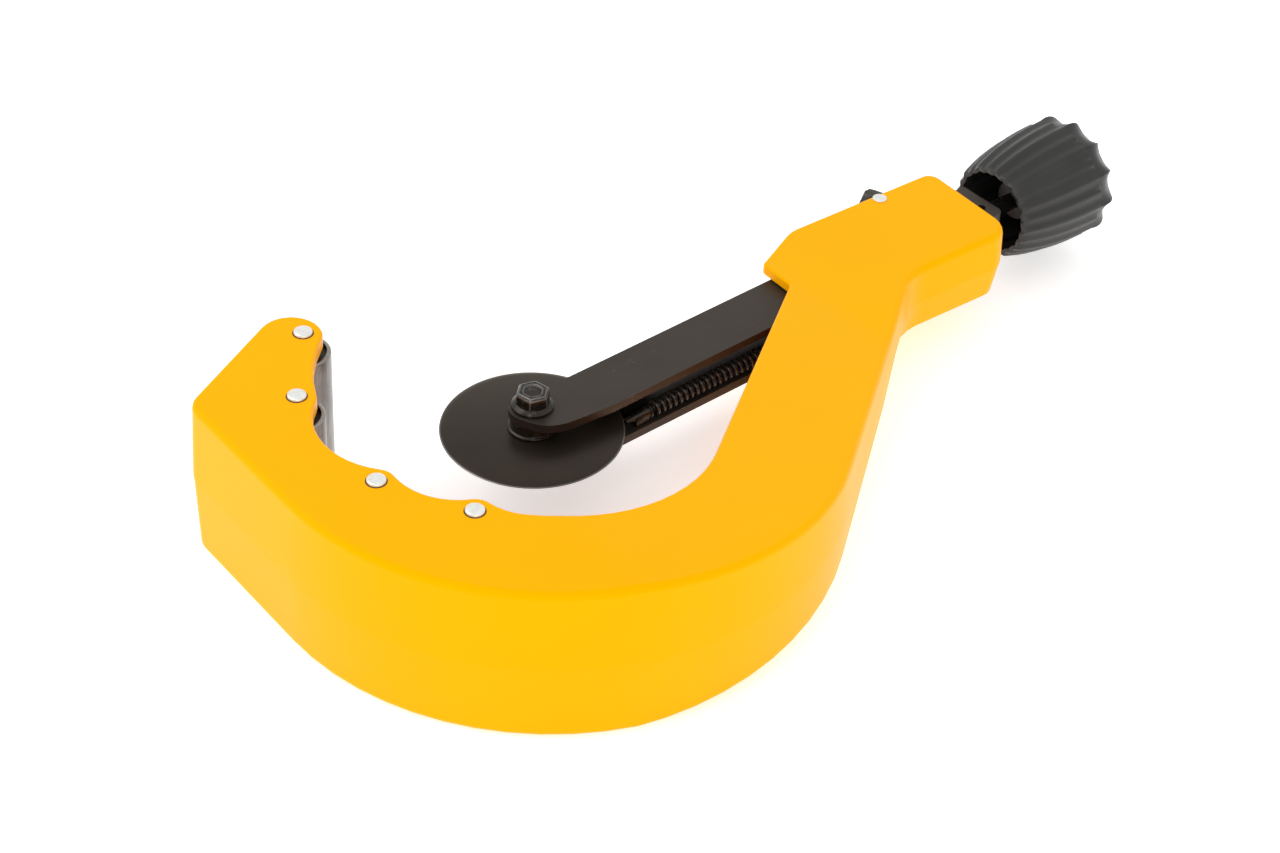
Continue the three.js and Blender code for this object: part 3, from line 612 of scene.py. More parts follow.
class Finishes:
    """Every finish of the tool, made once."""

    PAINT = Finish(
        "yellow_powder_paint", (0.96, 0.408, 0.0), (1.0, 0.430, 0.0), 0.33, roughness_swing=0.04, mottle_scale=9.0,
        grain_scale=1500.0, grain_height=0.009, specular=0.08, specular_tint=(1.0, 0.4, 0.0),
    )
    BLACK_STEEL = Finish(
        "black_oxide_steel", (0.024, 0.0195, 0.0155), (0.034, 0.028, 0.023), 0.38, metallic=0.35, mottle_scale=45.0,
        grain_scale=2400.0, grain_height=0.012, streaks=(1.0, 14.0, 14.0), streak_scale=60.0, streak_share=0.12,
        streak_colour=(0.070, 0.060, 0.051), scuff_share=0.18, scuff_colour=(0.11, 0.10, 0.09),
        specular=0.45, specular_tint=(1.0, 0.9, 0.8),
    )
    # Lighter finish for rounded edges: partly wear with scuffs, partly a painted highlight along the edges.
    WORN_EDGE_AND_HIGHLIGHT = Finish(
        "worn_and_highlit_black_edge", (0.070, 0.066, 0.061), (0.13, 0.124, 0.116), 0.30, metallic=0.3, mottle_scale=160.0,
        grain_scale=2400.0, grain_height=0.012, scuff_share=0.4, scuff_scale=160.0, scuff_colour=(0.22, 0.20, 0.19),
    )
    WHEEL_STEEL = Finish(
        "blackened_wheel_steel", (0.019, 0.0145, 0.011), (0.027, 0.021, 0.0165), 0.34, metallic=0.45,
        mottle_scale=38.0, grain_scale=2200.0, grain_height=0.010, scuff_share=0.1, scuff_colour=(0.09, 0.08, 0.07),
        specular=0.42, specular_tint=(1.0, 0.86, 0.74),
    )
    GROUND_EDGE = Finish(
        "ground_cutting_edge", (0.12, 0.112, 0.104), (0.17, 0.16, 0.15), 0.34, metallic=0.85, mottle_scale=300.0,
        grain_scale=3200.0, grain_height=0.008,
    )
    NUT_STEEL = Finish(
        "blackened_bolt_steel", (0.013, 0.011, 0.0092), (0.023, 0.0195, 0.0165), 0.28, metallic=0.5,
        mottle_scale=260.0, grain_scale=2600.0, grain_height=0.012, scuff_share=0.35, scuff_scale=220.0,
        scuff_colour=(0.14, 0.13, 0.12),
        specular_tint=(1.0, 0.92, 0.84),
    )
    ROLLER_STEEL = Finish(
        "drawn_roller_steel", (0.235, 0.22, 0.206), (0.36, 0.34, 0.322), 0.27, metallic=0.95, mottle_scale=90.0,
        grain_scale=2600.0, grain_height=0.012, streaks=(16.0, 16.0, 1.0), streak_scale=70.0, streak_share=0.45,
        streak_colour=(0.17, 0.155, 0.14),
    )
    # Near-black finish for the hollow ends of the rollers: painted shade inside the recess.
    ROLLER_HOLLOW_SHADE = Finish(
        "painted_roller_hollow_shade", (0.035, 0.033, 0.031), (0.06, 0.056, 0.052), 0.42, metallic=0.5, mottle_scale=240.0,
        grain_scale=2600.0, grain_height=0.02,
    )
    NICKEL = Finish(
        "nickel_pin", (0.74, 0.74, 0.70), (0.86, 0.86, 0.83), 0.32, metallic=0.75, mottle_scale=420.0,
        grain_scale=3000.0, grain_height=0.03, scuff_share=0.25, scuff_scale=320.0, scuff_colour=(0.5, 0.5, 0.47),
    )
    SPRING_WIRE = Finish(
        "dark_spring_wire", (0.034, 0.032, 0.029), (0.052, 0.049, 0.045), 0.24, metallic=0.25, mottle_scale=500.0,
        grain_scale=3000.0, grain_height=0.01,
    )
    KNOB = Finish(
        "moulded_black_plastic", (0.0165, 0.016, 0.015), (0.023, 0.0223, 0.0212), 0.38, mottle_scale=60.0,
        grain_scale=2600.0, grain_height=0.014, scuff_share=0.12, scuff_colour=(0.07, 0.07, 0.07), specular=0.38,
    )
    BRONZE = Finish(
        "sintered_bronze", (0.42, 0.24, 0.10), (0.52, 0.31, 0.14), 0.42, metallic=0.9, mottle_scale=400.0,
        grain_scale=3600.0, grain_height=0.03,
    )
    # Near-black finish for the thin ring under each axle head: painted shade in the gap where the head meets the frame.
    GAP_SHADE = Finish(
        "painted_gap_shade", (0.012, 0.010, 0.008), (0.02, 0.016, 0.012), 0.7, mottle_scale=300.0,
        grain_scale=2600.0, grain_height=0.02,
    )

    def __init__(self) -> None:
        """Builds the shared effects and starts with no material made."""
        self.effects = Effects()
        self._made: dict[str, bpy.types.Material] = {}

    def get(self, finish: Finish) -> bpy.types.Material:
        """The material of a finish, made when first asked for."""
        if finish.name not in self._made:
            self._made[finish.name] = finish.build(self.effects)
        return self._made[finish.name]

    def dress(self, piece: bpy.types.Object, finish: Finish) -> None:
        """Gives a piece one finish all over."""
        piece.data.materials.clear()
        piece.data.materials.append(self.get(finish))

    def dress_part(
        self, piece: bpy.types.Object, finish: Finish, test: Callable[[bpy.types.MeshPolygon], bool]
    ) -> None:
        """Gives the faces that pass a test a further finish.

        Args:
            piece: The piece, which has its first finish.
            finish: The further finish.
            test: Says whether a face takes it.
        """
        piece.data.materials.append(self.get(finish))
        index = len(piece.data.materials) - 1
        for polygon in piece.data.polygons:
            if test(polygon):
                polygon.material_index = index


def fit_up(piece: bpy.types.Object, body: str, slot: str, *nodes: str) -> None:
    """Sets a finished piece on its body in place of its CAD nodes, and reports it.

    Args:
        piece: The finished piece.
        body: The body it moves with.
        slot: The record's material slot; not used.
        nodes: The CAD nodes it stands for.
    """
    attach(piece, body)
    if nodes:
        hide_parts(*nodes)
    LOG.info("%s on %s, %d faces", piece.name, body, len(piece.data.polygons))


def complete(
    piece: bpy.types.Object, finishes: Finishes, finish: Finish, degrees: float, body: str, slot: str, *nodes: str
) -> None:
    """Smooths a piece, gives it one finish and sets it on its body.

    Args:
        piece: The modelled piece.
        finishes: The tool's finishes.
        finish: The piece's finish.
        degrees: The angle of its sharp edges.
        body: The body it moves with.
        slot: The record's material slot.
        nodes: The CAD nodes it stands for.
    """
    Bench.smooth(piece, degrees)
    finishes.dress(piece, finish)
    fit_up(piece, body, slot, *nodes)


# ---------------------------------------------------------------- sub-assemblies


@dataclass
class FrameCasting:
    """The painted frame, with its drafted wall, rounded edges and smooth changes of slope."""

    finishes: Finishes
    round_width: float = 2.6 * MM
    wall_share: float = 1.0
    plate_share: float = 0.45
    small_share: float = 0.14
    draft: float = 1.45 * MM
    blend: float = 5.0 * MM
    slope_start: float = -40 * MM
    slope_end: float = 130 * MM
    head_start: float = 138 * MM
    hook_half: float = 32 * MM
    head_half: float = 15.5 * MM
    parting_step: float = 0.25 * MM
    head_draft: float = 2.4 * MM
    end_share: float = 0.45
    head_reach: float = 30 * MM
    least_wall: float = 4 * MM * MM
    tip_fade: Station = (49.2 * MM, 6.8 * MM)
    end_fade: Station = (-30.4 * MM, 8.4 * MM)
    levels: tuple[float, ...] = (-7 * MM, -0.5 * MM, 0.0, 4 * MM, 9 * MM, 16 * MM)

    def __post_init__(self) -> None:
        """Finds the hook's centre and the middle height."""
        self.hook = HOOK_CENTRE
        self.throat = self.hook + Vector((-5 * MM, -22 * MM, 0.0))
        self.height = middle("cutting_wheel").z

    def half_height(self, x: float) -> float:
        """Half the casting's height at a place along X."""
        share = rising(x - self.hook.x, self.slope_start, self.slope_end - self.slope_start)
        return self.hook_half + (self.head_half - self.hook_half) * share

    def outer(self, place: Vector, normal: Vector) -> bool:
        """Whether a wall face is on the casting's outside.

        Args:
            place: A point of the face.
            normal: Its normal.

        Returns:
            Whether it faces away from the throat.
        """
        if abs(normal.z) > 0.5:
            return False
        away = place - self.throat
        if place.x - self.hook.x > self.head_start:
            inside = abs(place.z - self.height) < self.head_half * 0.72 and abs(normal.y) > 0.9
            near = place.y - self.hook.y
            return not (inside and -20 * MM < near < 17 * MM)
        return away.x * normal.x + away.y * normal.y > 0.4 * math.hypot(away.x, away.y)

    def build(self) -> None:
        """Cuts, drafts, rounds and paints the casting."""
        piece = Bench.lifted("frame_casting", "frame")
        self.close_pin_holes(piece)
        near_slope = [self.slope_start - self.blend, self.slope_start + self.blend]
        near_head = [self.slope_end - self.blend, self.slope_end + self.blend]
        with Bench.editing(piece):
            for distance in near_slope + near_head:
                bpy.ops.mesh.select_all(action="SELECT")
                bpy.ops.mesh.bisect(plane_co=(self.hook.x + distance, 0.0, 0.0), plane_no=(1.0, 0.0, 0.0))
            for level in self.levels:
                bpy.ops.mesh.select_all(action="SELECT")
                bpy.ops.mesh.bisect(plane_co=(0.0, 0.0, self.height + level), plane_no=(0.0, 0.0, 1.0))
        self.push_wall(piece)
        self.round_edges(piece)
        Bench.smooth(piece, 38.0)
        Bench.weigh_normals(piece)
        self.finishes.dress(piece, Finishes.PAINT)
        fit_up(piece, "frame", "frame_paint", "frame")

    def close_pin_holes(self, piece: bpy.types.Object) -> None:
        """Closes the holes that the riveted pins fill.

        Args:
            piece: The casting.
        """
        with Bench.editing(piece):
            Bench.pick(
                piece,
                "faces",
                lambda f: abs(f.normal.z) < 0.5
                and any((f.calc_center_median() - middle(name)).to_2d().length < 3.9 * MM for name in PIN_NODES),
            )
            bpy.ops.mesh.delete(type="FACE")
            Bench.pick(piece, "edges", lambda e: e.is_boundary)
            bpy.ops.mesh.fill_holes(sides=0)
            bpy.ops.mesh.select_all(action="SELECT")
            bpy.ops.mesh.dissolve_limited(angle_limit=math.radians(0.4))
            bpy.ops.mesh.normals_make_consistent(inside=False)

    def push_wall(self, piece: bpy.types.Object) -> None:
        """Gives the outer wall its draft, widest at the middle height.

        Args:
            piece: The casting.
        """
        mesh = bmesh.new()
        mesh.from_mesh(piece.data)
        mesh.normal_update()
        moves: dict[bmesh.types.BMVert, Vector] = {}
        for vert in mesh.verts:
            walls = [
                face for face in vert.link_faces
                if self.outer(face.calc_center_median(), face.normal) and face.calc_area() > self.least_wall
            ]
            half = self.half_height(vert.co.x)
            level = vert.co.z - self.height
            rise = abs(level)
            on_head = rising(vert.co.x - self.hook.x, self.slope_end, self.head_reach)
            if not walls or (rise > half - 0.5 * MM and (level > 0.0 or on_head == 0.0)):
                continue
            push = Vector((0.0, 0.0, 0.0))
            for face in walls:
                push += Vector((face.normal.x, face.normal.y, 0.0))
            if push.length < 1e-6:
                continue
            push.normalize()
            soft = min(half, math.sqrt(rise * rise + (3.0 * MM) ** 2))
            out = self.draft * half / self.hook_half * (1.0 - soft / half)
            if level < -0.2 * MM:
                out -= self.parting_step * (1.0 - soft / half)
                out -= self.head_draft * on_head * max(0.0, rise / half - 0.1)
            moves[vert] = push * out
        for vert, push in moves.items():
            vert.co += push
        mesh.to_mesh(piece.data)
        mesh.free()

    def round_edges(self, piece: bpy.types.Object) -> None:
        """Rounds the casting's edges, widest round the outer wall.

        Args:
            piece: The casting.
        """
        mesh = bmesh.new()
        mesh.from_mesh(piece.data)
        mesh.normal_update()
        weights = mesh.edges.layers.float.new("bevel_weight_edge")
        for edge in mesh.edges:
            if len(edge.link_faces) != 2 or edge.calc_face_angle(0.0) < math.radians(30):
                continue
            middle_point = (edge.verts[0].co + edge.verts[1].co) / 2
            one, two = edge.link_faces
            flat = max(abs(one.normal.z), abs(two.normal.z)) > 0.9
            outside = abs(abs(middle_point.z - self.height) - self.half_height(middle_point.x)) < 0.4 * MM
            share = self.small_share
            if flat and outside:
                wall = one if abs(one.normal.z) < abs(two.normal.z) else two
                share = self.rim_share(middle_point, wall.normal)
            edge[weights] = share
        mesh.to_mesh(piece.data)
        mesh.free()
        Bench.hold(piece)
        modifier = piece.modifiers.new("round", "BEVEL")
        modifier.width = self.round_width
        modifier.segments = 4
        modifier.limit_method = "WEIGHT"
        modifier.use_clamp_overlap = False
        modifier.loop_slide = False
        bpy.ops.object.modifier_apply(modifier=modifier.name)

    def rim_share(self, place: Vector, normal: Vector) -> float:
        """The share of the full rounding at an edge of a plate.

        The outer wall's rim is rounded most. The change to the finer rim of the throat lies on
        the two corners at the wall's ends.

        Args:
            place: The edge's middle.
            normal: The wall's normal beside it.

        Returns:
            The share.
        """
        local = place - self.hook
        wide, end, fine = self.wall_share, self.end_share, self.plate_share
        if local.x < -90 * MM:
            return wide + (fine - wide) * rising(local.y, *self.tip_fade)
        if local.x < 0.0 and local.y > 30 * MM:
            return fine
        if local.x > 205 * MM and -32 * MM < local.y < 30 * MM:
            return wide + (end - wide) * rising(local.y, *self.end_fade)
        if local.x > 150 * MM and local.y < -15 * MM:
            return wide
        if local.x > 115 * MM and local.y > -15 * MM:
            return fine
        return wide if self.outer(place, normal) else fine


@dataclass
class Roller:
    """Four steel rollers on riveted axles."""

    finishes: Finishes
    chamfer: float = 0.55 * MM
    recess: float = 2.4 * MM
    ring: float = 8.3 * MM
    head: float = 3.45 * MM
    gap_shade_height: float = 0.06 * MM

    def build(self) -> None:
        """Turns one roller and one axle, and copies them to the other places."""
        low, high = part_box("roller_1")
        first = middle("roller_1")
        radius = (high.x - low.x) / 2
        half = (high.z - low.z) / 2
        cut = self.chamfer
        stations = [
            (3.7 * MM, -half + self.recess), (self.ring, -half + self.recess), (self.ring, -half),
            (radius - cut, -half), (radius, -half + cut), (radius, half - cut), (radius - cut, half),
            (self.ring, half), (self.ring, half - self.recess), (3.7 * MM, half - self.recess),
        ]
        roller = Bench.turned("roller_1_turned", stations, first, segments=72)
        Bench.bevel(roller, 0.12 * MM, 2, 25.0)
        Bench.smooth(roller, 30.0)
        self.finishes.dress(roller, Finishes.ROLLER_STEEL)
        # The recess floor and wall at each roller end take the near-black finish: painted shade in the hollow.
        self.finishes.dress_part(
            roller, Finishes.ROLLER_HOLLOW_SHADE,
            lambda p: (p.center - first).to_2d().length < self.ring + 0.06 * MM,
        )

        axle_low, axle_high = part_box("roller_axle_1")
        top = axle_high.z - first.z
        base = axle_low.z - first.z
        head = self.head
        axle = Bench.turned(
            "roller_1_axle",
            [
                (2.4 * MM, base), (3.1 * MM, base + 0.3 * MM), (3.3 * MM, base + 0.7 * MM),
                (3.3 * MM, top - 1.15 * MM), (head, top - 1.12 * MM), (head, top - 0.55 * MM),
                (head * 0.95, top - 0.25 * MM), (head * 0.82, top - 0.08 * MM), (head * 0.6, top - 0.02 * MM),
                (head * 0.3, top), (head * 0.12, top - 0.12 * MM),
            ],
            first, segments=48,
        )
        Bench.smooth(axle, 50.0)
        self.finishes.dress(axle, Finishes.NICKEL)
        # A very thin near-black ring round each axle at the frame's face: painted shade in the gap under the axle head.
        rise = self.face + self.gap_shade_height
        gap_shade = Bench.turned(
            "roller_1_seat",
            [(3.2 * MM, self.face), (3.85 * MM, self.face), (3.85 * MM, rise), (3.2 * MM, rise)],
            first, segments=48,
        )
        self.finishes.dress(gap_shade, Finishes.GAP_SHADE)
        for number in range(1, 5):
            offset = middle(f"roller_{number}") - first
            names = (f"roller_{number}_turned", f"roller_{number}_axle", f"roller_{number}_seat")
            pieces = [roller, axle, gap_shade] if number == 1 else [
                Bench.copy_to(piece, name, offset) for piece, name in zip((roller, axle, gap_shade), names)
            ]
            fit_up(pieces[0], f"roller_{number}", "roller_steel", f"roller_{number}")
            fit_up(pieces[1], "frame", "nickel", f"roller_axle_{number}")
            fit_up(pieces[2], "frame", "black_oxide")

    @property
    def face(self) -> float:
        """Height of the frame's upper face over the rollers' middle."""
        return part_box("frame")[1].z - middle("roller_1").z


@dataclass
class Slide:
    """The slide, the cutting wheel between its ears, the bolt and the nut."""

    finishes: Finishes
    round_width: float = 0.55 * MM
    wheel_bevel: float = 2.6 * MM
    nut_flats: float = 5.65 * MM
    nut_extra: float = 0.7 * MM
    nut_turn: float = 12.0
    bolt_head: float = 4.2 * MM

    def build(self) -> None:
        """Builds the slide and all that it carries, apart from the feed."""
        arm = Bench.lifted("slide_channel", "slide_arm")
        self.finishes.dress(arm, Finishes.BLACK_STEEL)
        # The rounding takes the lighter edge finish: a painted edge highlight together with some wear.
        arm.data.materials.append(self.finishes.get(Finishes.WORN_EDGE_AND_HIGHLIGHT))
        Bench.bevel(arm, self.round_width, 3, slot=1)
        Bench.smooth(arm)
        Bench.weigh_normals(arm)
        fit_up(arm, "slide", "black_oxide", "slide_arm")
        self.wheel()
        self.spacers()
        self.nut()
        for node in ("front_bearing_block", "tail_bearing_block", "front_spring_anchor"):
            block = Bench.lifted(f"{node}_finished", node)
            Bench.bevel(block, 0.3 * MM)
            complete(block, self.finishes, Finishes.NUT_STEEL, 40.0, "slide", "black_oxide", node)

    def wheel(self) -> None:
        """Turns the thin wheel with its ground edge."""
        low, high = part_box("cutting_wheel")
        centre = middle("cutting_wheel")
        radius = (high.x - low.x) / 2
        half = (high.z - low.z) / 2
        bore = 4.9 * MM
        start = radius - self.wheel_bevel
        wheel = Bench.turned(
            "cutting_wheel_ground",
            [
                (bore, -half), (start, -half), (radius - 0.5 * MM, -0.25 * MM), (radius - 0.1 * MM, -0.08 * MM),
                (radius, 0.0), (radius - 0.1 * MM, 0.08 * MM), (radius - 0.5 * MM, 0.25 * MM), (start, half),
                (bore, half),
            ],
            centre, segments=160,
        )
        Bench.smooth(wheel, 30.0)
        self.finishes.dress(wheel, Finishes.WHEEL_STEEL)
        rim = radius - 0.35 * MM
        self.finishes.dress_part(
            wheel, Finishes.GROUND_EDGE,
            lambda p: len(p.vertices) == 4 and (p.center - centre).to_2d().length > rim,
        )
        fit_up(wheel, "wheel", "black_oxide", "cutting_wheel")

    def spacers(self) -> None:
        """Turns the two spacers beside the wheel."""
        for end in ("top", "bottom"):
            low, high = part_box(f"wheel_spacer_{end}")
            centre = middle(f"wheel_spacer_{end}")
            radius = (high.x - low.x) / 2
            half = (high.z - low.z) / 2
            foot, neck = radius + 0.35 * MM, radius - 0.5 * MM
            spacer = Bench.turned(
                f"wheel_spacer_{end}_turned",
                [
                    (4.95 * MM, -half), (foot, -half), (foot, -half + 0.8 * MM), (neck, -half + 1.2 * MM),
                    (neck, half), (4.95 * MM, half),
                ],
                centre, segments=64,
            )
            Bench.bevel(spacer, 0.2 * MM, 2, 30.0)
            complete(spacer, self.finishes, Finishes.NUT_STEEL, 40.0, "slide", "black_oxide", f"wheel_spacer_{end}")

    def nut(self) -> None:
        """Models the flange nut and the bolt with its threaded end."""
        low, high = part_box("wheel_nut")
        centre = Vector((middle("wheel_nut").x, middle("wheel_nut").y, low.z))
        height = high.z - low.z + self.nut_extra
        flange = (high.x - low.x) / 2 + 0.35 * MM
        corner = self.nut_flats / math.cos(math.radians(30))
        hexagon = Bench.turned(
            "wheel_nut_finished",
            [
                (corner, 1.2 * MM), (corner, height - 0.9 * MM), (corner * 0.86, height - 0.05 * MM),
                (3.9 * MM, height), (3.25 * MM, height - 0.7 * MM), (3.25 * MM, 1.2 * MM),
            ],
            centre, segments=6,
        )
        turn = Matrix.Rotation(math.radians(self.nut_turn), 4, "Z")
        hexagon.data.transform(Matrix.Translation(centre) @ turn @ Matrix.Translation(-centre))
        self.finishes.dress(hexagon, Finishes.NUT_STEEL)
        # The hexagon's rounded edges take the lighter edge finish: a painted edge highlight together with some wear.
        hexagon.data.materials.append(self.finishes.get(Finishes.WORN_EDGE_AND_HIGHLIGHT))
        Bench.bevel(hexagon, 0.34 * MM, 2, 30.0, slot=1)
        skirt = Bench.turned(
            "wheel_nut_skirt",
            [
                (3.3 * MM, 0.0), (flange - 0.1 * MM, 0.0), (flange, 0.25 * MM), (flange, 0.8 * MM),
                (flange - 0.35 * MM, 1.15 * MM), (corner - 0.3 * MM, 1.95 * MM), (3.3 * MM, 1.95 * MM),
            ],
            centre, segments=64,
        )
        hole = Bench.turned(
            "wheel_nut_mouth",
            [
                (3.2 * MM, height - 2.2 * MM), (4.2 * MM, height - 2.2 * MM), (4.6 * MM, height - 0.12 * MM),
                (4.35 * MM, height + 0.06 * MM), (3.9 * MM, height - 0.05 * MM), (3.2 * MM, height - 0.8 * MM),
            ],
            centre, segments=48,
        )
        for part in (skirt, hole):
            self.finishes.dress(part, Finishes.NUT_STEEL)
        nut = Bench.join([hexagon, skirt, hole])
        Bench.smooth(nut, 32.0)
        fit_up(nut, "slide", "black_oxide", "wheel_nut")

        bolt_low, bolt_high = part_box("wheel_bolt")
        base = Vector((centre.x, centre.y, bolt_low.z))
        length = bolt_high.z - bolt_low.z + self.nut_extra * 0.5
        head_height = self.bolt_head
        head = Bench.turned(
            "wheel_bolt_finished",
            [(corner * 0.84, 0.0), (corner, 0.8 * MM), (corner, head_height)], base, segments=6,
        )
        Bench.bevel(head, 0.25 * MM, 2, 30.0)
        thread_start = length - 7 * MM
        shank = Bench.turned(
            "wheel_bolt_shank",
            [
                (2.9 * MM, head_height - 0.3 * MM), (2.9 * MM, thread_start),
                *self.thread(thread_start, length - 0.9 * MM),
                (2.5 * MM, length - 0.5 * MM), (2.1 * MM, length - 0.1 * MM), (1.0 * MM, length),
            ],
            base, segments=40,
        )
        bolt = Bench.join([head, shank])
        complete(bolt, self.finishes, Finishes.NUT_STEEL, 32.0, "slide", "black_oxide", "wheel_bolt")

    @staticmethod
    def thread(start: float, end: float, pitch: float = 1.0 * MM) -> list[Station]:
        """Rings that stand for a fine thread.

        Args:
            start: Where the thread starts.
            end: Where it ends.
            pitch: The distance from ridge to ridge.

        Returns:
            The stations.
        """
        rings: list[Station] = []
        for turn in range(int((end - start) / pitch)):
            place = start + turn * pitch
            rings += [(2.95 * MM, place + 0.12 * pitch), (2.45 * MM, place + 0.6 * pitch)]
        return rings


@dataclass
class Coil:
    """A wound spring along one axis."""

    outer: float
    wire: float
    turns: float
    sides: int = 8
    steps: int = 18

    def wind(self, name: str, start: Vector, length: float, axis: Axis) -> bpy.types.Object:
        """Winds the spring with an applied screw modifier.

        Args:
            name: The piece's name.
            start: The coil's start on its axis.
            length: The length over the turns.
            axis: The coil's axis.

        Returns:
            The coil.
        """
        Bench.clear()
        mean = self.outer - self.wire / 2
        bpy.ops.mesh.primitive_circle_add(
            vertices=self.sides, radius=self.wire / 2, fill_type="NOTHING",
            location=(mean, 0.0, 0.0), rotation=(math.pi / 2, 0.0, 0.0),
        )
        coil = bpy.context.object
        coil.name = coil.data.name = name
        bpy.ops.object.transform_apply(location=True, rotation=True, scale=True)
        modifier = coil.modifiers.new("wind", "SCREW")
        modifier.angle = math.radians(360.0 * self.turns)
        modifier.screw_offset = length - self.wire
        modifier.steps = modifier.render_steps = int(self.turns * self.steps)
        modifier.use_merge_vertices = False
        bpy.ops.object.modifier_apply(modifier=modifier.name)
        with Bench.editing(coil):
            Bench.pick(coil, "edges", lambda e: e.is_boundary)
            bpy.ops.mesh.edge_face_add()
        self.close_ends(coil)
        Bench.outward(coil)
        coil.data.transform(Matrix.Translation(start) @ axis.turn @ Matrix.Translation((0.0, 0.0, self.wire / 2)))
        Bench.smooth(coil, 60.0)
        return coil

    @staticmethod
    def close_ends(coil: bpy.types.Object) -> None:
        """Closes the wire's two ends where they are still open."""
        mesh = bmesh.new()
        mesh.from_mesh(coil.data)
        border = [edge for edge in mesh.edges if edge.is_boundary]
        if border:
            bmesh.ops.holes_fill(mesh, edges=border, sides=0)
        mesh.to_mesh(coil.data)
        mesh.free()


@dataclass
class Springs:
    """The return spring along the slide and the latch's small spring."""

    finishes: Finishes
    return_pitch: float = 2.75 * MM
    return_wire: float = 1.3 * MM
    latch_wire: float = 0.6 * MM

    def build(self) -> None:
        """Winds both springs and the return spring's post."""
        low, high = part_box("return_spring")
        length = high.x - low.x
        outer = (high.z - low.z) / 2
        centre = middle("return_spring")
        spring = Coil(outer, self.return_wire, length / self.return_pitch).wind(
            "return_spring_coil", Vector((low.x, centre.y, centre.z)), length, Axis.X
        )
        self.finishes.dress(spring, Finishes.SPRING_WIRE)
        fit_up(spring, "frame", "black_oxide", "return_spring")
        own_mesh(spring)

        low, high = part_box("latch_spring")
        centre = middle("latch_spring")
        small = Coil((high.z - low.z) / 2, self.latch_wire, 4.0, sides=8, steps=20).wind(
            "latch_spring_coil", Vector((centre.x, low.y, centre.z)), high.y - low.y, Axis.Y
        )
        self.finishes.dress(small, Finishes.SPRING_WIRE)
        fit_up(small, "frame", "nickel", "latch_spring")
        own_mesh(small)

        low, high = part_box("rear_spring_post")
        centre = middle("rear_spring_post")
        half = (high.y - low.y) / 2
        radius = (high.x - low.x) / 2
        post = Bench.turned(
            "rear_spring_post_turned", [(radius, -half), (radius, half - 0.5 * MM), (radius * 0.6, half)],
            centre, Axis.Y, 32,
        )
        complete(post, self.finishes, Finishes.NICKEL, 30.0, "frame", "nickel", "rear_spring_post")


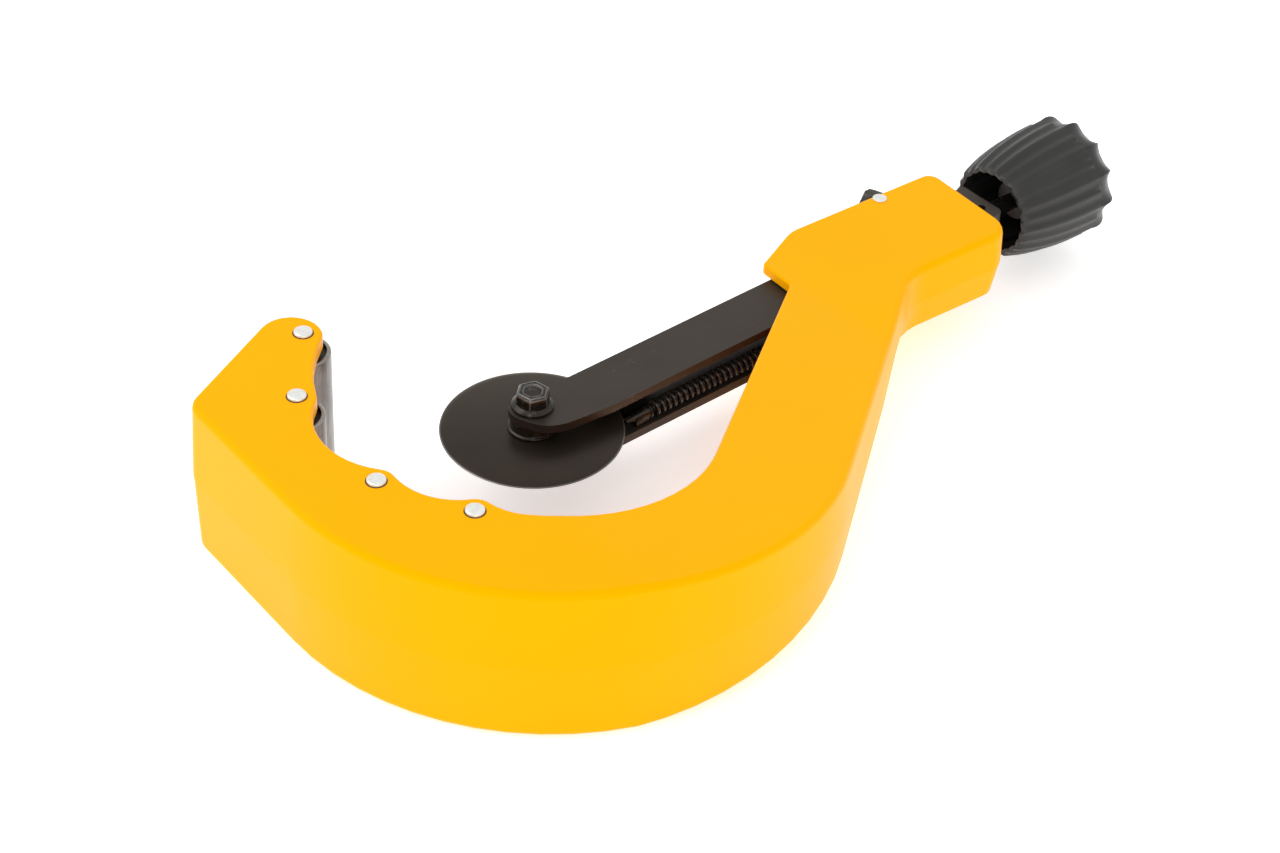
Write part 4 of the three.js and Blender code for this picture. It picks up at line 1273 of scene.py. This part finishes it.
@dataclass
class Feed:
    """The feed screw with its collar, and the ribbed hollow knob."""

    finishes: Finishes
    pitch: float = 3 * MM
    thread_depth: float = 1.3 * MM
    flutes: int = 24
    flute_depth: float = 1.05 * MM
    lobes: int = 12
    lobe_depth: float = 2.3 * MM
    ribs: int = 12
    rib_height: float = 1.5 * MM
    wall: float = 2.2 * MM
    around: int = 288
    crown_start: float = 38.5 * MM

    def build(self) -> None:
        """Builds the screw, the collar, the knob and its cap."""
        self.screw()
        self.knob()
        self.small_pieces()

    def screw(self) -> None:
        """Cuts the thread with an applied screw modifier and adds the plain ends."""
        low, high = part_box("feed_screw")
        centre = middle("feed_screw")
        start = Vector((low.x, centre.y, centre.z))
        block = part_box("front_bearing_block")[1].x - low.x
        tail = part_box("tail_bearing_block")[0].x - low.x
        radius = (high.z - low.z) / 2
        first, last = block + 2.4 * MM, tail - 0.6 * MM
        turns = int((last - first) / self.pitch)
        Bench.clear()
        bpy.ops.mesh.primitive_circle_add(vertices=4, radius=1.0, fill_type="NOTHING")
        thread = bpy.context.object
        thread.name = thread.data.name = "feed_screw_threaded"
        root = radius - self.thread_depth
        outline = [(root, 0.0), (radius, 0.27), (radius, 0.5), (root, 0.77), (root, 1.0)]
        mesh = bmesh.new()
        points = [mesh.verts.new((r, 0.0, share * self.pitch)) for r, share in outline]
        for one, two in zip(points, points[1:]):
            mesh.edges.new((one, two))
        mesh.to_mesh(thread.data)
        mesh.free()
        Bench.hold(thread)
        modifier = thread.modifiers.new("cut", "SCREW")
        modifier.screw_offset = self.pitch
        modifier.iterations = turns
        modifier.steps = modifier.render_steps = 24
        modifier.use_merge_vertices = True
        modifier.merge_threshold = 1e-6
        bpy.ops.object.modifier_apply(modifier=modifier.name)
        thread.data.transform(Matrix.Translation(start) @ Axis.X.turn @ Matrix.Translation((0.0, 0.0, first)))
        Coil.close_ends(thread)
        Bench.outward(thread)
        core = root - 0.05 * MM
        journal = 3.0 * MM
        shank = 3.4 * MM
        body = Bench.turned(
            "feed_screw_core",
            [
                (journal * 0.8, 0.0), (journal, 0.5 * MM), (journal, block + 0.6 * MM), (core, first - 0.4 * MM),
                (core, last + 0.2 * MM), (shank, last + 0.5 * MM), (shank, high.x - low.x - 0.4 * MM),
                (shank * 0.8, high.x - low.x),
            ],
            start, Axis.X, 48,
        )
        screw = Bench.join([thread, body])
        complete(screw, self.finishes, Finishes.NUT_STEEL, 28.0, "feed", "black_oxide", "feed_screw")

    def knob(self) -> None:
        """Models the knob: flutes along its skirt, a lobed crown and ribs in its hollow."""
        low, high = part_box("knob")
        centre = Vector((low.x, middle("knob").y, middle("knob").z))
        mouth = 18.7 * MM
        length = high.x - low.x
        hub = 8.0 * MM
        bore = 3.9 * MM
        skirt = [
            (0.0, 0.0), (0.6, 0.7), (3.0, 1.55), (7.0, 2.75), (12.0, 3.95), (18.0, 5.0), (24.0, 5.75), (30.0, 6.2),
            (35.0, 6.35), (38.3, 6.4), (38.7, 6.45), (39.6, 6.6), (41.5, 6.8), (43.6, 6.6), (45.4, 5.9), (46.9, 4.8),
            (48.2, 3.1), (49.2, 0.9), (49.8, -2.2), (50.0, -6.0),
        ]
        outside = [(mouth + rise * MM, place * MM) for place, rise in skirt]
        inner = mouth - self.wall
        hollow = [
            (bore, 13 * MM), (hub, 13 * MM), (hub, 38 * MM), (inner + 4.4 * MM, 40 * MM),
            (inner + 3.9 * MM, 28 * MM), (inner + 3.0 * MM, 16 * MM), (inner + 1.4 * MM, 6 * MM),
            (inner + 0.3 * MM, 0.9 * MM), (inner + 0.5 * MM, 0.3 * MM),
        ]
        stations = [*hollow, *outside, (8.2 * MM, length), (8.0 * MM, length - 3.4 * MM), (6.8 * MM, length - 3.6 * MM)]
        knob = Bench.turned("knob_moulded", stations, centre, Axis.X, self.around)
        for vert in knob.data.vertices:
            offset = vert.co - centre
            place, radial = offset.x, Vector((0.0, offset.y, offset.z))
            radius = radial.length
            angle = math.atan2(offset.z, offset.y)
            if radius < 9 * MM:
                continue
            change = 0.0
            outer_radius = self.skirt_radius(outside, place)
            if radius > outer_radius - 0.25 * MM:
                change = -self.ridge(angle, place)
            elif 1.5 * MM < place < 39 * MM:
                change = -self.rib_height * rising(math.cos(self.ribs * angle), 0.72, 0.12)
            elif place <= 1.5 * MM:
                change = -0.6 * self.ridge(angle, place)
            vert.co = centre + Vector((place, 0.0, 0.0)) + radial * ((radius + change) / radius)
        complete(knob, self.finishes, Finishes.KNOB, 50.0, "feed", "knob_plastic", "knob")

    @staticmethod
    def skirt_radius(outside: Sequence[Station], place: float) -> float:
        """The outer radius at a place along the knob.

        Args:
            outside: The outer stations.
            place: The distance from the mouth.

        Returns:
            The radius there.
        """
        for (r0, p0), (r1, p1) in zip(outside, outside[1:]):
            if p0 <= place <= p1:
                return r0 + (r1 - r0) * (place - p0) / max(p1 - p0, 1e-9)
        return outside[-1][0]

    def ridge(self, angle: float, place: float) -> float:
        """How far the knob's skin lies under its crests.

        Args:
            angle: The place round the knob.
            place: The distance from the mouth.

        Returns:
            The depth.
        """
        wave = 0.5 - 0.5 * math.cos(self.flutes * angle)
        broad = 0.5 - 0.5 * math.cos(self.lobes * angle)
        body = self.flute_depth * (0.8 * wave**0.8 + 0.35 * broad)
        if place < self.crown_start:
            return body
        scoop = abs(math.sin(self.lobes * angle / 2)) ** 0.85
        reach = rising(place, self.crown_start, 9 * MM)
        fade = 1.0 - rising(place, 47.2 * MM, 3 * MM)
        return (1.15 * MM + self.lobe_depth * reach) * scoop * fade + 0.15 * body

    def small_pieces(self) -> None:
        """Turns the collar and the cap."""
        low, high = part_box("thrust_collar")
        centre = middle("thrust_collar")
        half = (high.x - low.x) / 2
        radius = (high.z - low.z) / 2
        collar = Bench.turned(
            "thrust_collar_turned", [(3.5 * MM, -half), (radius, -half), (radius, half), (3.5 * MM, half)],
            centre, Axis.X, 56,
        )
        Bench.bevel(collar, 0.4 * MM)
        complete(collar, self.finishes, Finishes.NUT_STEEL, 40.0, "feed", "black_oxide", "thrust_collar")
        low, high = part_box("knob_cap")
        base = Vector((low.x, middle("knob_cap").y, middle("knob_cap").z))
        depth = high.x - low.x
        cap = Bench.turned(
            "knob_cap_moulded",
            [
                (6.2 * MM, 0.1 * MM), (7.7 * MM, 0.1 * MM), (7.7 * MM, depth - 0.9 * MM),
                (7.3 * MM, depth - 0.4 * MM), (6.2 * MM, depth - 0.12 * MM), (3.0 * MM, depth),
            ],
            base, Axis.X, 64,
        )
        complete(cap, self.finishes, Finishes.KNOB, 40.0, "feed", "knob_plastic", "knob_cap")


@dataclass
class Latch:
    """The release latch and its pin."""

    finishes: Finishes
    round_width: float = 0.6 * MM
    nose_shift: tuple[float, float, float] = (-1.2 * MM, 1.2 * MM, 0.0)

    def build(self) -> None:
        """Rounds the latch and turns its pin's head."""
        latch = Bench.lifted("release_latch_finished", "release_latch")
        start = middle("latch_pin").y + 6.5 * MM
        with Bench.editing(latch):
            Bench.pick(latch, "faces", lambda f: f.calc_center_median().y > start and f.normal.y > 0.3)
            bpy.ops.transform.translate(value=self.nose_shift)
        Bench.bevel(latch, self.round_width)
        complete(latch, self.finishes, Finishes.NUT_STEEL, 30.0, "latch", "black_oxide", "release_latch")
        low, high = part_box("latch_pin")
        centre = Vector((middle("latch_pin").x, middle("latch_pin").y, low.z))
        length = high.z - low.z
        radius = (high.x - low.x) / 2
        pin = Bench.turned(
            "latch_pin_riveted",
            [
                (radius * 0.7, 0.0), (radius, 0.5 * MM), (radius, length - 0.65 * MM),
                (radius * 1.28, length - 0.62 * MM), (radius * 1.28, length - 0.3 * MM),
                (radius * 1.1, length - 0.08 * MM), (radius * 0.6, length), (radius * 0.2, length - 0.08 * MM),
            ],
            centre, segments=40,
        )
        complete(pin, self.finishes, Finishes.NICKEL, 50.0, "frame", "nickel", "latch_pin")


@dataclass
class CarriedNodes:
    """The CAD nodes that stay as they are, with their finishes."""

    finishes: Finishes
    kinds: dict[str, Finish] = field(default_factory=lambda: {
        "wheel_bush": Finishes.BRONZE,
        "front_block_screw": Finishes.NUT_STEEL,
        "tail_block_pin": Finishes.NUT_STEEL,
        "knob_pin": Finishes.NICKEL,
    })

    def build(self) -> None:
        """Gives every CAD node a finish, by its name or by its material slot."""
        by_slot = {
            "frame_paint": Finishes.PAINT, "black_oxide": Finishes.BLACK_STEEL, "roller_steel": Finishes.ROLLER_STEEL,
            "nickel": Finishes.NICKEL, "knob_plastic": Finishes.KNOB, "bronze": Finishes.BRONZE,
        }
        slots = {entry["node"]: entry["material_slot"] for entry in FRAME["record"]["subparts"]}
        for name, node in FRAME["nodes"].items():
            finish = self.kinds.get(name, by_slot[slots[name]])
            material = self.finishes.get(finish)
            if node.material_slots:
                for slot in node.material_slots:
                    slot.material = material
            else:
                node.data.materials.append(material)


# ---------------------------------------------------------------- the room


@dataclass(frozen=True)
class Studio:
    """A pale floor, soft lights and the camera."""

    azimuth: float = -42.1
    elevation: float = 38.66
    roll: float = 2.79
    lens: float = 83.55
    sensor: float = 36.0
    distance: float = 1.09161
    right_of_hook: float = 0.04411
    above_hook: float = 0.02884
    floor_half: float = 6.0
    world_strength: float = 0.95

    def directions(self) -> tuple[Vector, Vector, Vector]:
        """The camera's right, up and back directions."""
        a, e, r = (math.radians(v) for v in (self.azimuth, self.elevation, self.roll))
        back = Vector((math.sin(a) * math.cos(e), -math.cos(a) * math.cos(e), math.sin(e)))
        level = Vector((math.cos(a), math.sin(a), 0.0))
        upright = level.cross(-back)
        right = math.cos(r) * level + math.sin(r) * upright
        up = -math.sin(r) * level + math.cos(r) * upright
        return right, up, back

    def camera(self) -> None:
        """Places the camera."""
        right, up, back = self.directions()
        data = bpy.data.cameras.new("camera")
        data.lens = self.lens
        data.sensor_width = self.sensor
        data.sensor_fit = "HORIZONTAL"
        data.clip_end = 50.0
        camera = bpy.data.objects.new("camera", data)
        place = HOOK_CENTRE + right * self.right_of_hook + up * self.above_hook + back * self.distance
        turn = Matrix((right, up, back)).transposed().to_4x4()
        camera.matrix_world = Matrix.Translation(place) @ turn
        bpy.context.scene.collection.objects.link(camera)
        bpy.context.scene.camera = camera

    @staticmethod
    def light(name: str, place: Sequence[float], aim: Sequence[float], size: float, power: float) -> None:
        """Adds a soft area light.

        Args:
            name: The light's name.
            place: Where it hangs.
            aim: What it faces.
            size: Its side.
            power: Its power in watts.
        """
        data = bpy.data.lights.new(name, "AREA")
        data.shape = "SQUARE"
        data.size = size
        data.energy = power
        lamp = bpy.data.objects.new(name, data)
        lamp.location = place
        lamp.rotation_euler = (Vector(aim) - Vector(place)).to_track_quat("-Z", "Y").to_euler()
        bpy.context.scene.collection.objects.link(lamp)

    def build(self) -> None:
        """Builds the floor, the surround, the lights and the camera."""
        scene = bpy.context.scene
        scene.view_settings.view_transform = "Standard"
        world = bpy.data.worlds.new("soft_surround")
        world.use_nodes = True
        background = world.node_tree.nodes["Background"]
        background.inputs["Color"].default_value = (1.0, 1.0, 1.0, 1.0)
        background.inputs["Strength"].default_value = self.world_strength
        scene.world = world
        Bench.clear()
        bpy.ops.mesh.primitive_plane_add(size=2 * self.floor_half, location=(0.0, 0.0, -0.0002))
        floor = bpy.context.object
        floor.name = "floor"
        material = bpy.data.materials.new("pale_floor")
        material.use_nodes = True
        shader = material.node_tree.nodes["Principled BSDF"]
        shader.inputs["Base Color"].default_value = (0.93, 0.93, 0.93, 1.0)
        shader.inputs["Roughness"].default_value = 0.85
        shader.inputs["Specular IOR Level"].default_value = 0.1
        shader.inputs["Emission Color"].default_value = (1.0, 1.0, 1.0, 1.0)
        shader.inputs["Emission Strength"].default_value = 0.42
        floor.data.materials.append(material)
        self.light("key_softbox", (-0.9, 0.9, 1.5), (0.0, 0.0, 0.02), 1.1, 9.0)
        self.light("front_fill", (-0.8, -1.4, 0.9), (0.0, 0.0, 0.03), 1.2, 5.0)
        self.camera()


def main() -> None:
    global FRAME, HOOK_CENTRE
    logging.basicConfig(level=logging.INFO, format="%(name)s: %(message)s")
    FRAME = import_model()
    Bench.clear()
    wheel = middle("cutting_wheel")
    HOOK_CENTRE = Vector((wheel.x - 6.1 * MM, wheel.y - 1.2 * MM, 0.0))
    Studio().build()
    finishes = Finishes()
    CarriedNodes(finishes).build()
    for assembly in (
        FrameCasting(finishes), Roller(finishes), Slide(finishes), Springs(finishes), Feed(finishes), Latch(finishes),
    ):
        LOG.info("building %s", type(assembly).__name__)
        assembly.build()


FRAME: dict = {}
HOOK_CENTRE = Vector((0.0, 0.0, 0.0))
PIN_NODES = ("roller_1", "roller_2", "roller_3", "roller_4", "latch_pin")

if __name__ == "__main__":
    main()
